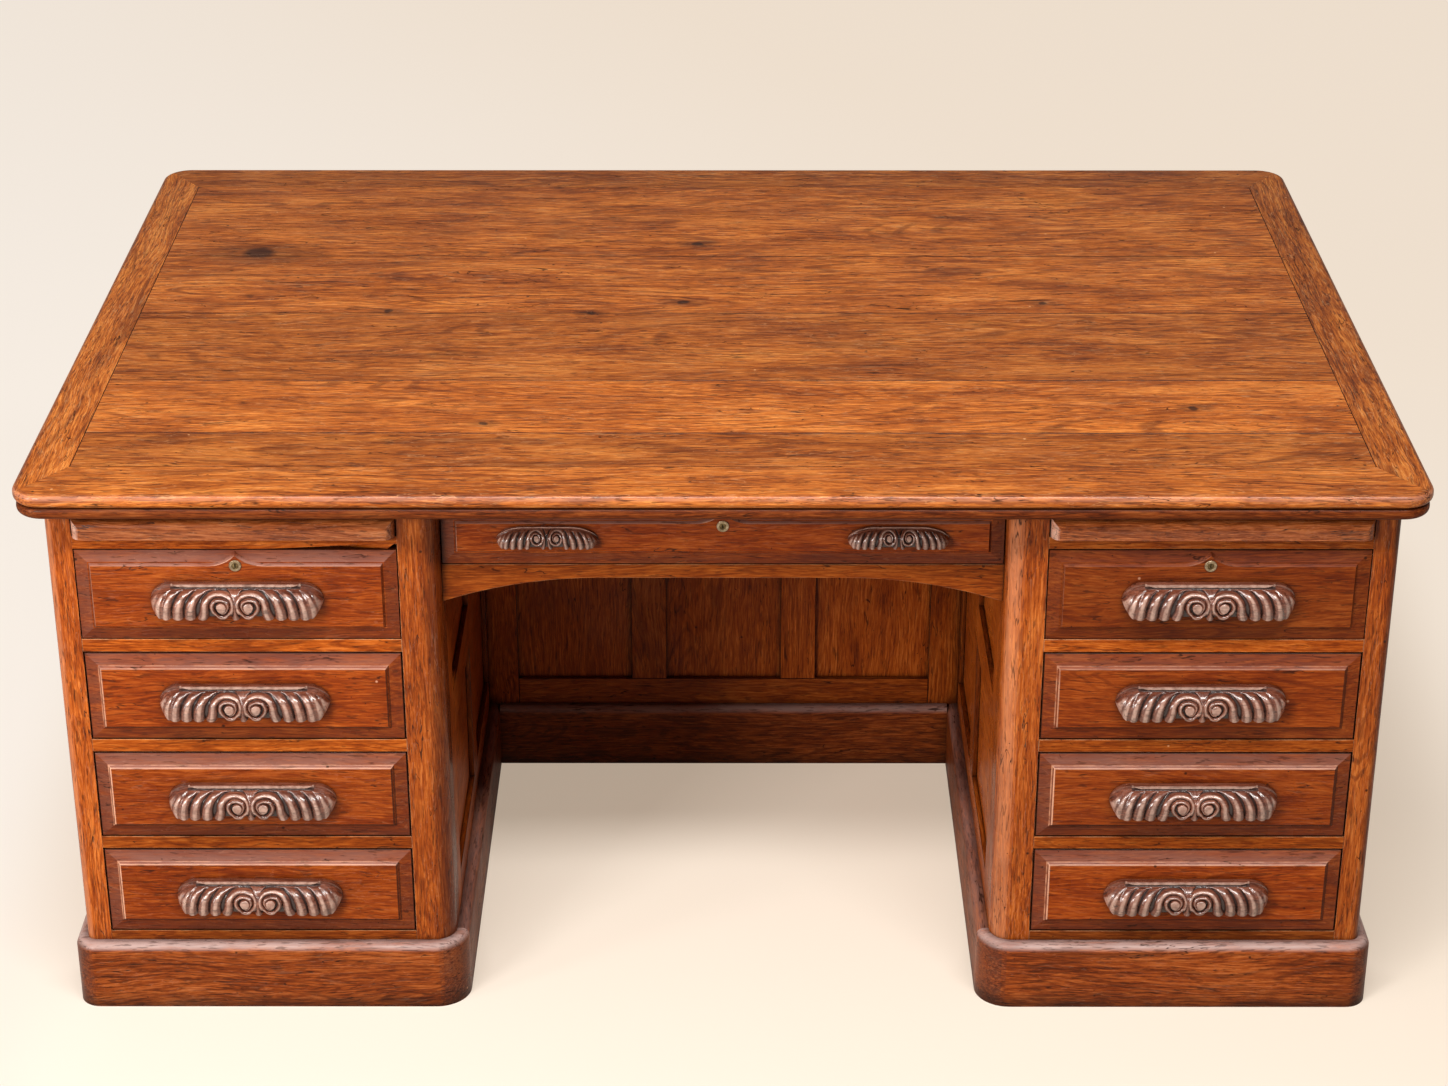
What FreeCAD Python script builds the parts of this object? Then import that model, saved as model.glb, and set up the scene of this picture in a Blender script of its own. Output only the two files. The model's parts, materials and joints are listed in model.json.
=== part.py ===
import FreeCAD
import Part
import math
import os

# Pedestal writing desk, in millimetres. X runs along the desk, Y from front to back, Z up.
# The origin is on the floor under the middle of the top, and the drawers face -Y.
# The left half is built first, and the right half mirrors it.

V = FreeCAD.Vector

# Widths, from the middle of the kneehole out to the end of the desk
KNEEHOLE_WIDTH = 703.0
INNER_POST_WIDTH = 51.0
OPENING_WIDTH = 401.5
OUTER_POST_WIDTH = 33.0
SIDE_OVERHANG = 30.0

# Depths, from front to back
CARCASE_DEPTH = 1108.0
FRONT_OVERHANG = 49.0
POST_DEPTH = 60.0
PARTITION_SETBACK = 644.0

# Heights, from the floor up to the top
PLINTH_HEIGHT = 95.0
BOTTOM_RAIL_SHOWN = 14.0
OPENING_HEIGHT = 126.0
RAIL_HEIGHT = 18.0
SLIDE_RAIL_HEIGHT = 17.0
SLIDE_OPENING_HEIGHT = 28.0
TOP_RAIL_HEIGHT = 15.0
MOULDING_HEIGHT = 16.0
TOP_THICKNESS = 19.0
DRAWER_COUNT = 4

# Top boards and the moulded build-up under their edge
TOP_CORNER_RADIUS = 40.0
TOP_NOSE_RADIUS = 8.0
BORDER_DEPTH = 85.0
CLAMP_WIDTH = 61.0
FIELD_BOARD_SHARES = (0.10, 0.165, 0.23, 0.215, 0.29)
MOULDING_WIDTH = 90.0
MOULDING_SETBACK = 3.0
MOULDING_NOSE_RADIUS = 7.0
MITRE_GAP = 0.2
FIXING_BLOCK = 36.0

# Posts and plinth
INNER_POST_RADIUS = 28.0
OUTER_POST_RADIUS = 12.0
PLINTH_PROJECTION = 16.0
PLINTH_NOSE_RADIUS = 11.0

# Framed walls
FRAME_THICKNESS = 22.0
PANEL_THICKNESS = 8.0
GROOVE_DEPTH = 8.0
STILE_WIDTH = 45.0
MUNTIN_WIDTH = 52.0
WALL_BOTTOM_RAIL = 137.0
WALL_MIDDLE_RAIL = 60.0
WALL_TOP_RAIL = 127.0
MIDDLE_RAIL_SHARE = 0.52

# Drawer boxes
DRAWER_LENGTH = 560.0
SIDE_THICKNESS = 11.0
BACK_THICKNESS = 11.0
BACK_HOUSING = 3.0
BOTTOM_THICKNESS = 6.0
BOTTOM_RISE = 8.0
BOTTOM_GROOVE = 4.0
SIDE_DROP = 5.0
FRONT_GAP = 1.5
RUN_CLEARANCE = 0.3
TAIL_COUNT = 3
TAIL_LENGTH = 11.0
TAIL_ROOT_SHARE = 0.42
TAIL_TIP_SHARE = 0.62

# Drawer fronts: a shallow bevel, then a steep step up to the raised field
FRONT_EDGE = 16.0
BEVEL_WIDTH = 15.5
BEVEL_RISE = 2.5
STEP_WIDTH = 4.0
STEP_RISE = 4.0
LOCK_ARCH_HALF_WIDTH = 34.0
LOCK_ARCH_MARGIN = 5.0

# Runners
RUNNER_BEARING = 4.0
GUIDE_CLEARANCE = 0.8
GUIDE_HEIGHT = 30.0
STOP_LENGTH = 24.0
STOP_HEIGHT = 20.0

# Centre drawer, apron and the rails over the kneehole
CENTRE_OPENING_HEIGHT = 80.0
CENTRE_REAR_SPACE = 60.0
CENTRE_RUNNER_WIDTH = 16.0
APRON_THICKNESS = 20.0
APRON_MIDDLE_HEIGHT = 19.0
APRON_END_HEIGHT = 52.0
APRON_FLAT_SHARE = 0.44

# Writing slides
SLIDE_LENGTH = 520.0
SLIDE_THICKNESS = 20.0
SLIDE_SETBACK = 12.0
LIP_GAP = 1.0
LIP_PROJECTION = 14.0
KICKER_CLEARANCE = 0.5

# Carved pulls, as plain envelopes
PULL_WIDTH = 215.0
PULL_HEIGHT = 42.0
PULL_PROJECTION = 27.0
SMALL_PULL_WIDTH = 126.0
SMALL_PULL_HEIGHT = 25.0
SMALL_PULL_PROJECTION = 18.0
SMALL_PULL_OFFSET = 218.0
SMALL_PULL_RISE = 4.0
PULL_TOP_SHARE = 0.34
PULL_FILLET_SHARE = 0.10
PULL_BULGE_SHARE = 0.10
PULL_CHIN_SHARE = 0.90
PULL_LIP_SHARE = 0.60
PULL_HOLLOW_SHARE = 0.36
PULL_SEAT_SHARE = 0.08
PULL_FLAT_SHARE = 0.375
PULL_END_SHARE = 0.12
PULL_CORNER_SHARE = 0.065
PULL_SPAN_SHARE = 0.66

# Locks
LOCK_DROP = 20.0
CENTRE_LOCK_DROP = 24.0
LOCK_CASE_WIDTH = 56.0
LOCK_CASE_HEIGHT = 46.0
LOCK_CASE_DEPTH = 13.0
LOCK_WALL = 1.6
BARREL_RADIUS = 6.2
BARREL_CLEARANCE = 0.15
RIM_RADIUS = 7.6
RIM_PROUD = 1.2
RIM_ROUND = 0.6
PLUG_RADIUS = 4.4
PLUG_CLEARANCE = 0.06
PLUG_RECESS = 0.5
KEYWAY_WIDTH = 1.2
KEYWAY_HEIGHT = 5.6
KEYWAY_DEPTH = 9.0
CAM_SHAFT_RADIUS = 3.0
CAM_LENGTH = 7.0
CAM_WIDTH = 4.0
BOLT_WIDTH = 24.0
BOLT_THICKNESS = 5.0
BOLT_TAIL = 16.0
BOLT_TRAVEL = 8.0
BOLT_CLEARANCE = 0.3
BOLT_STANDOFF = 2.4
WINDOW_CLEARANCE = 1.0
MORTISE_CLEARANCE = 1.0
EAR_WIDTH = 12.0
EAR_HEIGHT = 14.0
EAR_THICKNESS = 1.8
SCREW_HEAD_RADIUS = 3.4
SCREW_HEAD_HEIGHT = 1.6
SCREW_SHANK_RADIUS = 1.6
SCREW_DEPTH = 9.0
SCREW_SLOT_WIDTH = 0.8
SCREW_SLOT_DEPTH = 0.7

# How far past a face a cut runs, and how near two heights count as one
OVERRUN = 5.0
TOLERANCE = 0.001

# Places worked out from the sizes above
CARCASE_WIDTH = KNEEHOLE_WIDTH + 2 * (INNER_POST_WIDTH + OPENING_WIDTH + OUTER_POST_WIDTH)
TOP_WIDTH = CARCASE_WIDTH + 2 * SIDE_OVERHANG
TOP_DEPTH = CARCASE_DEPTH + 2 * FRONT_OVERHANG
FRONT = -CARCASE_DEPTH / 2
OUTER_FACE = -CARCASE_WIDTH / 2
KNEEHOLE_FACE = -KNEEHOLE_WIDTH / 2
OPENING_OUTER = OUTER_FACE + OUTER_POST_WIDTH
OPENING_INNER = KNEEHOLE_FACE - INNER_POST_WIDTH
OPENING_CENTRE = (OPENING_OUTER + OPENING_INNER) / 2
FIRST_OPENING = PLINTH_HEIGHT + BOTTOM_RAIL_SHOWN
OPENING_PITCH = OPENING_HEIGHT + RAIL_HEIGHT
SLIDE_RAIL_BOTTOM = FIRST_OPENING + DRAWER_COUNT * OPENING_PITCH - RAIL_HEIGHT
SLIDE_FLOOR = SLIDE_RAIL_BOTTOM + SLIDE_RAIL_HEIGHT
TOP_RAIL_BOTTOM = SLIDE_FLOOR + SLIDE_OPENING_HEIGHT
CARCASE_TOP = TOP_RAIL_BOTTOM + TOP_RAIL_HEIGHT
BOARD_UNDERSIDE = CARCASE_TOP + MOULDING_HEIGHT
DESK_HEIGHT = BOARD_UNDERSIDE + TOP_THICKNESS
CENTRE_FRONT = FRONT + INNER_POST_RADIUS
CENTRE_FLOOR = TOP_RAIL_BOTTOM - CENTRE_OPENING_HEIGHT
PARTITION_FRONT = FRONT + PARTITION_SETBACK
CENTRE_DRAWER_LENGTH = PARTITION_SETBACK - INNER_POST_RADIUS - FRONT_EDGE - CENTRE_REAR_SPACE
FIELD_PLANE = -(BEVEL_RISE + STEP_RISE)
ARC_CORNER_SHARE = 1 - math.sqrt(0.5)


def box(x0, x1, y0, y1, z0, z1):
    return Part.makeBox(x1 - x0, y1 - y0, z1 - z0, V(x0, y0, z0))


def cylinder(radius, y0, y1, x=0.0, z=0.0):
    """A round bar along Y."""
    return Part.makeCylinder(radius, y1 - y0, V(x, y0, z), V(0, 1, 0))


def closed_wire(path):
    """A closed outline. Each step of the path is a point, or a pair: an arc's middle and its end."""
    here = path[0]
    edges = []
    for step in path[1:] + path[:1]:
        end = step[1] if isinstance(step, tuple) else step
        if here.distanceToPoint(end) < TOLERANCE:
            continue
        if isinstance(step, tuple):
            edges.append(Part.Arc(here, step[0], end).toShape())
        else:
            edges.append(Part.LineSegment(here, end).toShape())
        here = end
    return Part.Wire(edges)


def prism(path, along):
    return Part.Face(closed_wire(path)).extrude(along)


def rounded_prism(x0, x1, y0, y1, z0, z1, radii):
    """An upright block. The radii go round from the front left corner, and zero is a sharp corner."""
    corners = [V(x0, y0, z0), V(x1, y0, z0), V(x1, y1, z0), V(x0, y1, z0)]
    ways = [V(1, 0, 0), V(0, 1, 0), V(-1, 0, 0), V(0, -1, 0)]
    path = []
    for n, (corner, radius) in enumerate(zip(corners, radii)):
        before, after = ways[n - 1], ways[n]
        if radius == 0:
            path.append(corner)
            continue
        path.append(corner - before * radius)
        middle = corner + (after - before) * (radius * ARC_CORNER_SHARE)
        path.append((middle, corner + after * radius))
    return prism(path, V(0, 0, z1 - z0))


def arc_from_level(start, end):
    """The middle and end of an arc in an upright plane that leaves its start along the level."""
    run, rise = end.x - start.x, end.z - start.z
    radius = (run * run + rise * rise) / (2 * abs(rise))
    half_turn = math.atan2(abs(rise), abs(run))
    sideways = math.copysign(radius * math.sin(half_turn), run)
    upward = math.copysign(radius * (1 - math.cos(half_turn)), rise)
    return (V(start.x + sideways, start.y, start.z + upward), end)


def arc_to_plumb(start, end):
    """The middle and end of an arc in the plane of Y and Z that reaches its end upright."""
    run, rise = start.y - end.y, start.z - end.z
    radius = (run * run + rise * rise) / (2 * abs(run))
    half_turn = math.atan2(abs(run), abs(rise))
    inward = math.copysign(radius * (1 - math.cos(half_turn)), run)
    upward = math.copysign(radius * math.sin(half_turn), rise)
    return (V(end.x, end.y + inward, end.z + upward), end)


def edges_at(shape, z):
    """The edges that lie level at the given height."""
    return [e for e in shape.Edges if all(abs(v.Z - z) < TOLERANCE for v in e.Vertexes)]


def fused(solids):
    return solids[0].multiFuse(solids[1:]).removeSplitter()


def moved(shape, x, y, z):
    return shape.translated(V(x, y, z))


def mirrored(solids):
    return [s.mirror(V(0, 0, 0), V(1, 0, 0)) for s in solids]


def export(name, solids):
    shape = solids[0] if len(solids) == 1 else Part.makeCompound(solids)
    shape.exportStep("parts/" + name + ".step")


def mitred_ring(slab, inner_x, inner_y):
    """Cuts a slab into four mitred border pieces: front, back, left and right. The mitres of the front
    and back pieces stand a glue line short."""
    outer_x, outer_y = slab.BoundBox.XMax, slab.BoundBox.YMax
    low, up = slab.BoundBox.ZMin, V(0, 0, slab.BoundBox.ZLength)
    pieces = []
    for side in (-1, 1):
        outer_end, inner_end = outer_x - MITRE_GAP, inner_x - MITRE_GAP
        ends = [V(-outer_end, side * outer_y, low), V(outer_end, side * outer_y, low)]
        ends += [V(inner_end, side * inner_y, low), V(-inner_end, side * inner_y, low)]
        pieces.append(slab.common(prism(ends, up)))
    for side in (-1, 1):
        ends = [V(side * outer_x, -outer_y, low), V(side * outer_x, outer_y, low)]
        ends += [V(side * inner_x, inner_y, low), V(side * inner_x, -inner_y, low)]
        pieces.append(slab.common(prism(ends, up)))
    return pieces


def nosed_slab(width, depth, low, high, corner_radius, nose_radius):
    """A flat slab with rounded corners and a rounded edge all the way round."""
    slab = rounded_prism(-width / 2, width / 2, -depth / 2, depth / 2, low, high, [corner_radius] * 4)
    return slab.makeFillet(nose_radius, edges_at(slab, low) + edges_at(slab, high))


def build_top():
    slab = nosed_slab(TOP_WIDTH, TOP_DEPTH, BOARD_UNDERSIDE, DESK_HEIGHT, TOP_CORNER_RADIUS, TOP_NOSE_RADIUS)
    field_x = TOP_WIDTH / 2 - CLAMP_WIDTH
    field_y = TOP_DEPTH / 2 - BORDER_DEPTH
    export("top_border_boards", mitred_ring(slab, field_x, field_y))
    boards = []
    front = -field_y
    for share in FIELD_BOARD_SHARES:
        back = front + share / sum(FIELD_BOARD_SHARES) * 2 * field_y
        boards.append(box(-field_x, field_x, front, back, BOARD_UNDERSIDE, DESK_HEIGHT))
        front = back
    export("top_field_boards", boards)


def build_edge_moulding():
    width = TOP_WIDTH - 2 * MOULDING_SETBACK
    depth = TOP_DEPTH - 2 * MOULDING_SETBACK
    radius = TOP_CORNER_RADIUS - MOULDING_SETBACK
    slab = nosed_slab(width, depth, CARCASE_TOP, BOARD_UNDERSIDE, radius, MOULDING_NOSE_RADIUS)
    export("top_edge_moulding", mitred_ring(slab, width / 2 - MOULDING_WIDTH, depth / 2 - MOULDING_WIDTH))


def build_fixing_blocks():
    """Blocks in the angle between the kneehole walls and the top boards, over the slides' kickers."""
    wall = KNEEHOLE_FACE - FRAME_THICKNESS
    solids = []
    for y in (FRONT / 2, -FRONT / 2):
        solids.append(box(wall - FIXING_BLOCK, wall, y - FIXING_BLOCK, y + FIXING_BLOCK,
                          CARCASE_TOP, BOARD_UNDERSIDE))
    export("top_fixing_blocks", solids + mirrored(solids))


def build_posts():
    """Posts at the four corners of a pedestal, rounded on the corner that faces out."""
    solids = []
    for y0, front in ((FRONT, True), (-FRONT - POST_DEPTH, False)):
        outer = [OUTER_POST_RADIUS, 0, 0, 0] if front else [0, 0, 0, OUTER_POST_RADIUS]
        inner = [0, INNER_POST_RADIUS, 0, 0] if front else [0, 0, INNER_POST_RADIUS, 0]
        solids.append(rounded_prism(OUTER_FACE, OPENING_OUTER, y0, y0 + POST_DEPTH, 0, CARCASE_TOP, outer))
        solids.append(rounded_prism(OPENING_INNER, KNEEHOLE_FACE, y0, y0 + POST_DEPTH, 0, CARCASE_TOP, inner))
    export("left_posts", solids)
    export("right_posts", mirrored(solids))


def pedestal_plinth():
    """A skirting round a pedestal: front and back boards with rounded corners, a board along the outer
    wall, and two along the kneehole wall that stop at the partition."""
    grow = PLINTH_PROJECTION
    outer = rounded_prism(OUTER_FACE - grow, KNEEHOLE_FACE + grow, FRONT - grow, -FRONT + grow,
                          0, PLINTH_HEIGHT,
                          [OUTER_POST_RADIUS + grow, INNER_POST_RADIUS + grow,
                           INNER_POST_RADIUS + grow, OUTER_POST_RADIUS + grow])
    outer = outer.makeFillet(PLINTH_NOSE_RADIUS, edges_at(outer, PLINTH_HEIGHT))
    inner = rounded_prism(OUTER_FACE, KNEEHOLE_FACE, FRONT, -FRONT, 0, PLINTH_HEIGHT,
                          [OUTER_POST_RADIUS, INNER_POST_RADIUS, INNER_POST_RADIUS, OUTER_POST_RADIUS])
    ring = outer.cut(inner)
    joint = FRONT + INNER_POST_RADIUS
    left, right = OUTER_FACE - grow, KNEEHOLE_FACE + grow
    cutters = [box(left, right, FRONT - grow, joint, 0, PLINTH_HEIGHT),
               box(left, right, -joint, -FRONT + grow, 0, PLINTH_HEIGHT),
               box(left, OUTER_FACE, joint, -joint, 0, PLINTH_HEIGHT),
               box(KNEEHOLE_FACE, right, joint, PARTITION_FRONT, 0, PLINTH_HEIGHT),
               box(KNEEHOLE_FACE, right, PARTITION_FRONT + FRAME_THICKNESS, -joint, 0, PLINTH_HEIGHT)]
    return [ring.common(cutter) for cutter in cutters]


def build_plinths():
    solids = pedestal_plinth()
    export("left_plinth", solids)
    export("right_plinth", mirrored(solids))
    half = -KNEEHOLE_FACE - PLINTH_PROJECTION
    boards = []
    for y0, shown in ((PARTITION_FRONT - PLINTH_PROJECTION, PARTITION_FRONT - PLINTH_PROJECTION),
                      (PARTITION_FRONT + FRAME_THICKNESS,
                       PARTITION_FRONT + FRAME_THICKNESS + PLINTH_PROJECTION)):
        board = box(-half, half, y0, y0 + PLINTH_PROJECTION, 0, PLINTH_HEIGHT)
        edges = [e for e in edges_at(board, PLINTH_HEIGHT)
                 if all(abs(v.Y - shown) < TOLERANCE for v in e.Vertexes)]
        boards.append(board.makeFillet(PLINTH_NOSE_RADIUS, edges))
    export("kneehole_plinth", boards)


def rail_levels():
    """The bottom and top of each rail between the posts, from the lowest up."""
    levels = []
    for n in range(DRAWER_COUNT):
        top = FIRST_OPENING + n * OPENING_PITCH
        levels.append((top - RAIL_HEIGHT, top))
    levels.append((SLIDE_RAIL_BOTTOM, SLIDE_FLOOR))
    levels.append((TOP_RAIL_BOTTOM, CARCASE_TOP))
    return levels


def bolt_mortise(x, edge_plane, rail_bottom):
    """The hole in the underside of a rail that a lock's bolt shoots into."""
    middle = edge_plane + FRONT_EDGE + LOCK_WALL + BOLT_STANDOFF + BOLT_THICKNESS / 2
    half_x = BOLT_WIDTH / 2 + MORTISE_CLEARANCE
    half_y = BOLT_THICKNESS / 2 + MORTISE_CLEARANCE
    depth = BOLT_TRAVEL + MORTISE_CLEARANCE
    return box(x - half_x, x + half_x, middle - half_y, middle + half_y,
               rail_bottom - OVERRUN, rail_bottom + depth)


def build_drawer_rails():
    solids = [box(OPENING_OUTER, OPENING_INNER, FRONT, FRONT + POST_DEPTH, low, high)
              for low, high in rail_levels()]
    slide_rail = DRAWER_COUNT
    solids[slide_rail] = solids[slide_rail].cut(bolt_mortise(OPENING_CENTRE, FRONT, SLIDE_RAIL_BOTTOM))
    export("left_drawer_rails", solids)
    export("right_drawer_rails", mirrored(solids))


def framed_wall(uprights, rails):
    """Frame members and panels of a wall along X, its thickness along Y from zero."""
    thick = FRAME_THICKNESS
    (left, first), (last, right) = uprights[0], uprights[-1]
    low, high = rails[0][0], rails[-1][1]
    members = [box(left, first, 0, thick, low, high), box(last, right, 0, thick, low, high)]
    members += [box(first, last, 0, thick, z0, z1) for z0, z1 in rails]
    panels = []
    reach = GROOVE_DEPTH
    face = (thick - PANEL_THICKNESS) / 2
    for (_, z0), (z1, _) in zip(rails, rails[1:]):
        members += [box(x0, x1, 0, thick, z0, z1) for x0, x1 in uprights[1:-1]]
        for (_, x0), (x1, _) in zip(uprights, uprights[1:]):
            panels.append(box(x0 - reach, x1 + reach, face, thick - face, z0 - reach, z1 + reach))
    grooved = []
    for member in members:
        near = [p for p in panels if member.BoundBox.intersect(p.BoundBox)]
        grooved.append(member.cut(near))
    return grooved, panels


def wall_rails(height):
    low, high = WALL_BOTTOM_RAIL, CARCASE_TOP - WALL_TOP_RAIL
    middle = low + (high - low) * MIDDLE_RAIL_SHARE
    return [(0, low), (middle - WALL_MIDDLE_RAIL / 2, middle + WALL_MIDDLE_RAIL / 2), (high, height)]


def side_uprights():
    """Stiles and muntins of a pedestal's long walls, with one muntin where the partition meets them."""
    length = CARCASE_DEPTH - 2 * POST_DEPTH
    meeting = PARTITION_SETBACK - POST_DEPTH + FRAME_THICKNESS / 2
    between = (STILE_WIDTH + meeting) / 2
    muntins = [(m - MUNTIN_WIDTH / 2, m + MUNTIN_WIDTH / 2) for m in (between, meeting)]
    return [(0, STILE_WIDTH)] + muntins + [(length - STILE_WIDTH, length)]


def end_uprights(width, columns):
    """Stiles and muntins of a wall across the desk, with equal panels."""
    panel = (width - 2 * STILE_WIDTH - (columns - 1) * MUNTIN_WIDTH) / columns
    uprights = [(0, STILE_WIDTH)]
    for _ in range(columns - 1):
        start = uprights[-1][1] + panel
        uprights.append((start, start + MUNTIN_WIDTH))
    return uprights + [(width - STILE_WIDTH, width)]


def turned_wall(solids, x):
    """Turns a wall to run from front to back, its thickness reaching from x towards the left."""
    return [s.rotated(V(0, 0, 0), V(0, 0, 1), 90).translated(V(x, FRONT + POST_DEPTH, 0)) for s in solids]


def build_walls():
    outer_frame, outer_panels = framed_wall(side_uprights(), wall_rails(CARCASE_TOP))
    inner_frame, inner_panels = framed_wall(side_uprights(), wall_rails(BOARD_UNDERSIDE))
    back_frame, back_panels = framed_wall(end_uprights(OPENING_WIDTH, 2), wall_rails(CARCASE_TOP))
    back_y = -FRONT - FRAME_THICKNESS
    frames = turned_wall(outer_frame, OUTER_FACE + FRAME_THICKNESS)
    frames += turned_wall(inner_frame, KNEEHOLE_FACE)
    frames += [moved(s, OPENING_OUTER, back_y, 0) for s in back_frame]
    panels = turned_wall(outer_panels, OUTER_FACE + FRAME_THICKNESS)
    panels += turned_wall(inner_panels, KNEEHOLE_FACE)
    panels += [moved(s, OPENING_OUTER, back_y, 0) for s in back_panels]
    export("left_wall_frames", frames)
    export("right_wall_frames", mirrored(frames))
    export("left_wall_panels", panels)
    export("right_wall_panels", mirrored(panels))


def build_partition():
    frame, panels = framed_wall(end_uprights(KNEEHOLE_WIDTH, 3), wall_rails(BOARD_UNDERSIDE))
    export("kneehole_back_frame", [moved(s, KNEEHOLE_FACE, PARTITION_FRONT, 0) for s in frame])
    export("kneehole_back_panels", [moved(s, KNEEHOLE_FACE, PARTITION_FRONT, 0) for s in panels])


def apron(front, top):
    """A board across the kneehole with a low arch: level in the middle, curving down at the ends."""
    half = -KNEEHOLE_FACE
    flat = half * APRON_FLAT_SHARE
    crown = CENTRE_FLOOR - APRON_MIDDLE_HEIGHT
    foot = CENTRE_FLOOR - APRON_END_HEIGHT
    right = arc_from_level(V(flat, front, crown), V(half, front, foot))
    left_end = V(-half, front, foot)
    left = arc_from_level(V(-flat, front, crown), left_end)
    path = [V(half, front, top), V(-half, front, top), left_end, (left[0], V(-flat, front, crown)),
            V(flat, front, crown), right]
    return prism(path, V(0, APRON_THICKNESS, 0))


def build_kneehole_front():
    rear = -CENTRE_FRONT - APRON_THICKNESS
    export("kneehole_aprons", [apron(CENTRE_FRONT, CENTRE_FLOOR), apron(rear, CARCASE_TOP)])
    half = -KNEEHOLE_FACE
    rail = box(-half, half, CENTRE_FRONT, CENTRE_FRONT + POST_DEPTH, TOP_RAIL_BOTTOM, CARCASE_TOP)
    export("kneehole_top_rail", [rail.cut(bolt_mortise(0, CENTRE_FRONT, TOP_RAIL_BOTTOM))])


def runner(wall, edge, low, high, guide_top, length):
    """A runner under a drawer side, a guide strip beside the drawer and a stop block behind it."""
    toward = math.copysign(1, edge - wall)
    inward = edge + toward * (FRONT_GAP + SIDE_THICKNESS + RUNNER_BEARING)
    guide = edge + toward * (FRONT_GAP - GUIDE_CLEARANCE)
    front = FRONT + POST_DEPTH
    stop = FRONT + FRONT_EDGE + length + GUIDE_CLEARANCE
    back = stop + STOP_LENGTH
    return [box(*sorted((wall, inward)), front, back, low, high),
            box(*sorted((wall, guide)), front, back, high, guide_top),
            box(*sorted((guide, inward)), stop, back, high, high + STOP_HEIGHT)]


def kicker(wall, edge):
    """A strip over a writing slide that keeps it level when it is drawn out."""
    toward = math.copysign(1, edge - wall)
    sides = sorted((wall, edge + toward * (FRONT_GAP + SIDE_THICKNESS + RUNNER_BEARING)))
    low = SLIDE_FLOOR + RUN_CLEARANCE + SLIDE_THICKNESS + KICKER_CLEARANCE
    return box(*sides, FRONT + POST_DEPTH, FRONT + SLIDE_SETBACK + SLIDE_LENGTH, low, CARCASE_TOP)


def build_runners():
    solids = []
    walls = ((OUTER_FACE + FRAME_THICKNESS, OPENING_OUTER), (KNEEHOLE_FACE - FRAME_THICKNESS, OPENING_INNER))
    for wall, edge in walls:
        for low, high in rail_levels()[:DRAWER_COUNT]:
            solids += runner(wall, edge, low, high, high + GUIDE_HEIGHT, DRAWER_LENGTH)
        slide_stop = SLIDE_SETBACK + SLIDE_LENGTH - FRONT_EDGE
        guide_top = SLIDE_FLOOR + SLIDE_THICKNESS
        solids += runner(wall, edge, SLIDE_RAIL_BOTTOM, SLIDE_FLOOR, guide_top, slide_stop)
        solids.append(kicker(wall, edge))
    centre = box(KNEEHOLE_FACE, KNEEHOLE_FACE + CENTRE_RUNNER_WIDTH, CENTRE_FRONT + APRON_THICKNESS,
                 PARTITION_FRONT, CENTRE_FLOOR - RAIL_HEIGHT, CENTRE_FLOOR)
    solids.append(centre)
    export("drawer_runners", solids + mirrored(solids))


def field_outline(inset, y, width, low, high, arched):
    """The outline of a raised field, inset from the front's edge, with a pointed arch over a lock."""
    half = width / 2 - inset
    bottom, top = low + inset, high - inset
    path = [V(-half, y, bottom), V(half, y, bottom), V(half, y, top)]
    if arched:
        reach = LOCK_ARCH_HALF_WIDTH + BEVEL_WIDTH + STEP_WIDTH - inset
        apex = V(0, y, high - LOCK_ARCH_MARGIN + BEVEL_WIDTH + STEP_WIDTH - inset)
        start, end = V(reach, y, top), V(-reach, y, top)
        path += [start, arc_from_level(start, apex), (arc_from_level(end, apex)[0], end)]
    return path + [V(-half, y, top)]


def raised_front(width, low, high, arched):
    """A drawer front: a board, a bevel round its edge and a raised field."""
    board = box(-width / 2, width / 2, 0, FRONT_EDGE, low, high)
    rims = [closed_wire(field_outline(inset, y, width, low, high, False))
            for inset, y in ((0, 0), (BEVEL_WIDTH, -BEVEL_RISE))]
    fields = [closed_wire(field_outline(inset, y, width, low, high, arched))
              for inset, y in ((BEVEL_WIDTH, 0), (BEVEL_WIDTH + STEP_WIDTH, FIELD_PLANE))]
    return fused([board, Part.makeLoft(rims, True, True), Part.makeLoft(fields, True, True)])


def tails(x0, x1, low, high):
    """Dovetails on the front end of a drawer side."""
    pitch = (high - low) / TAIL_COUNT
    root, tip = pitch * TAIL_ROOT_SHARE / 2, pitch * TAIL_TIP_SHARE / 2
    back, front = FRONT_EDGE, FRONT_EDGE - TAIL_LENGTH
    solids = []
    for n in range(TAIL_COUNT):
        middle = low + (n + 1 / 2) * pitch
        path = [V(x0, back, middle - root), V(x0, front, middle - tip),
                V(x0, front, middle + tip), V(x0, back, middle + root)]
        solids.append(prism(path, V(x1 - x0, 0, 0)))
    return solids


def drawer_box(width, height, length):
    """A drawer's two sides, back and bottom, and the joints that its front has to leave room for."""
    half = width / 2 - FRONT_GAP
    inside = half - SIDE_THICKNESS
    low, high = RUN_CLEARANCE, height - FRONT_GAP - SIDE_DROP
    front, back = FRONT_EDGE, FRONT_EDGE + length
    floor = low + BOTTOM_RISE
    bottom = box(-inside - BOTTOM_GROOVE, inside + BOTTOM_GROOVE, front - BOTTOM_GROOVE, back,
                 floor, floor + BOTTOM_THICKNESS)
    housed = inside + BACK_HOUSING
    back_board = box(-housed, housed, back - 2 * BACK_THICKNESS, back - BACK_THICKNESS,
                     floor + BOTTOM_THICKNESS, high)
    joints = [bottom]
    sides = []
    for x0, x1 in ((-half, -inside), (inside, half)):
        tail_solids = tails(x0, x1, max(low, FRONT_GAP), high)
        joints += tail_solids
        side = fused([box(x0, x1, front, back, low, high)] + tail_solids)
        sides.append(side.cut([bottom, back_board]))
    return sides + [back_board, bottom], joints


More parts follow.
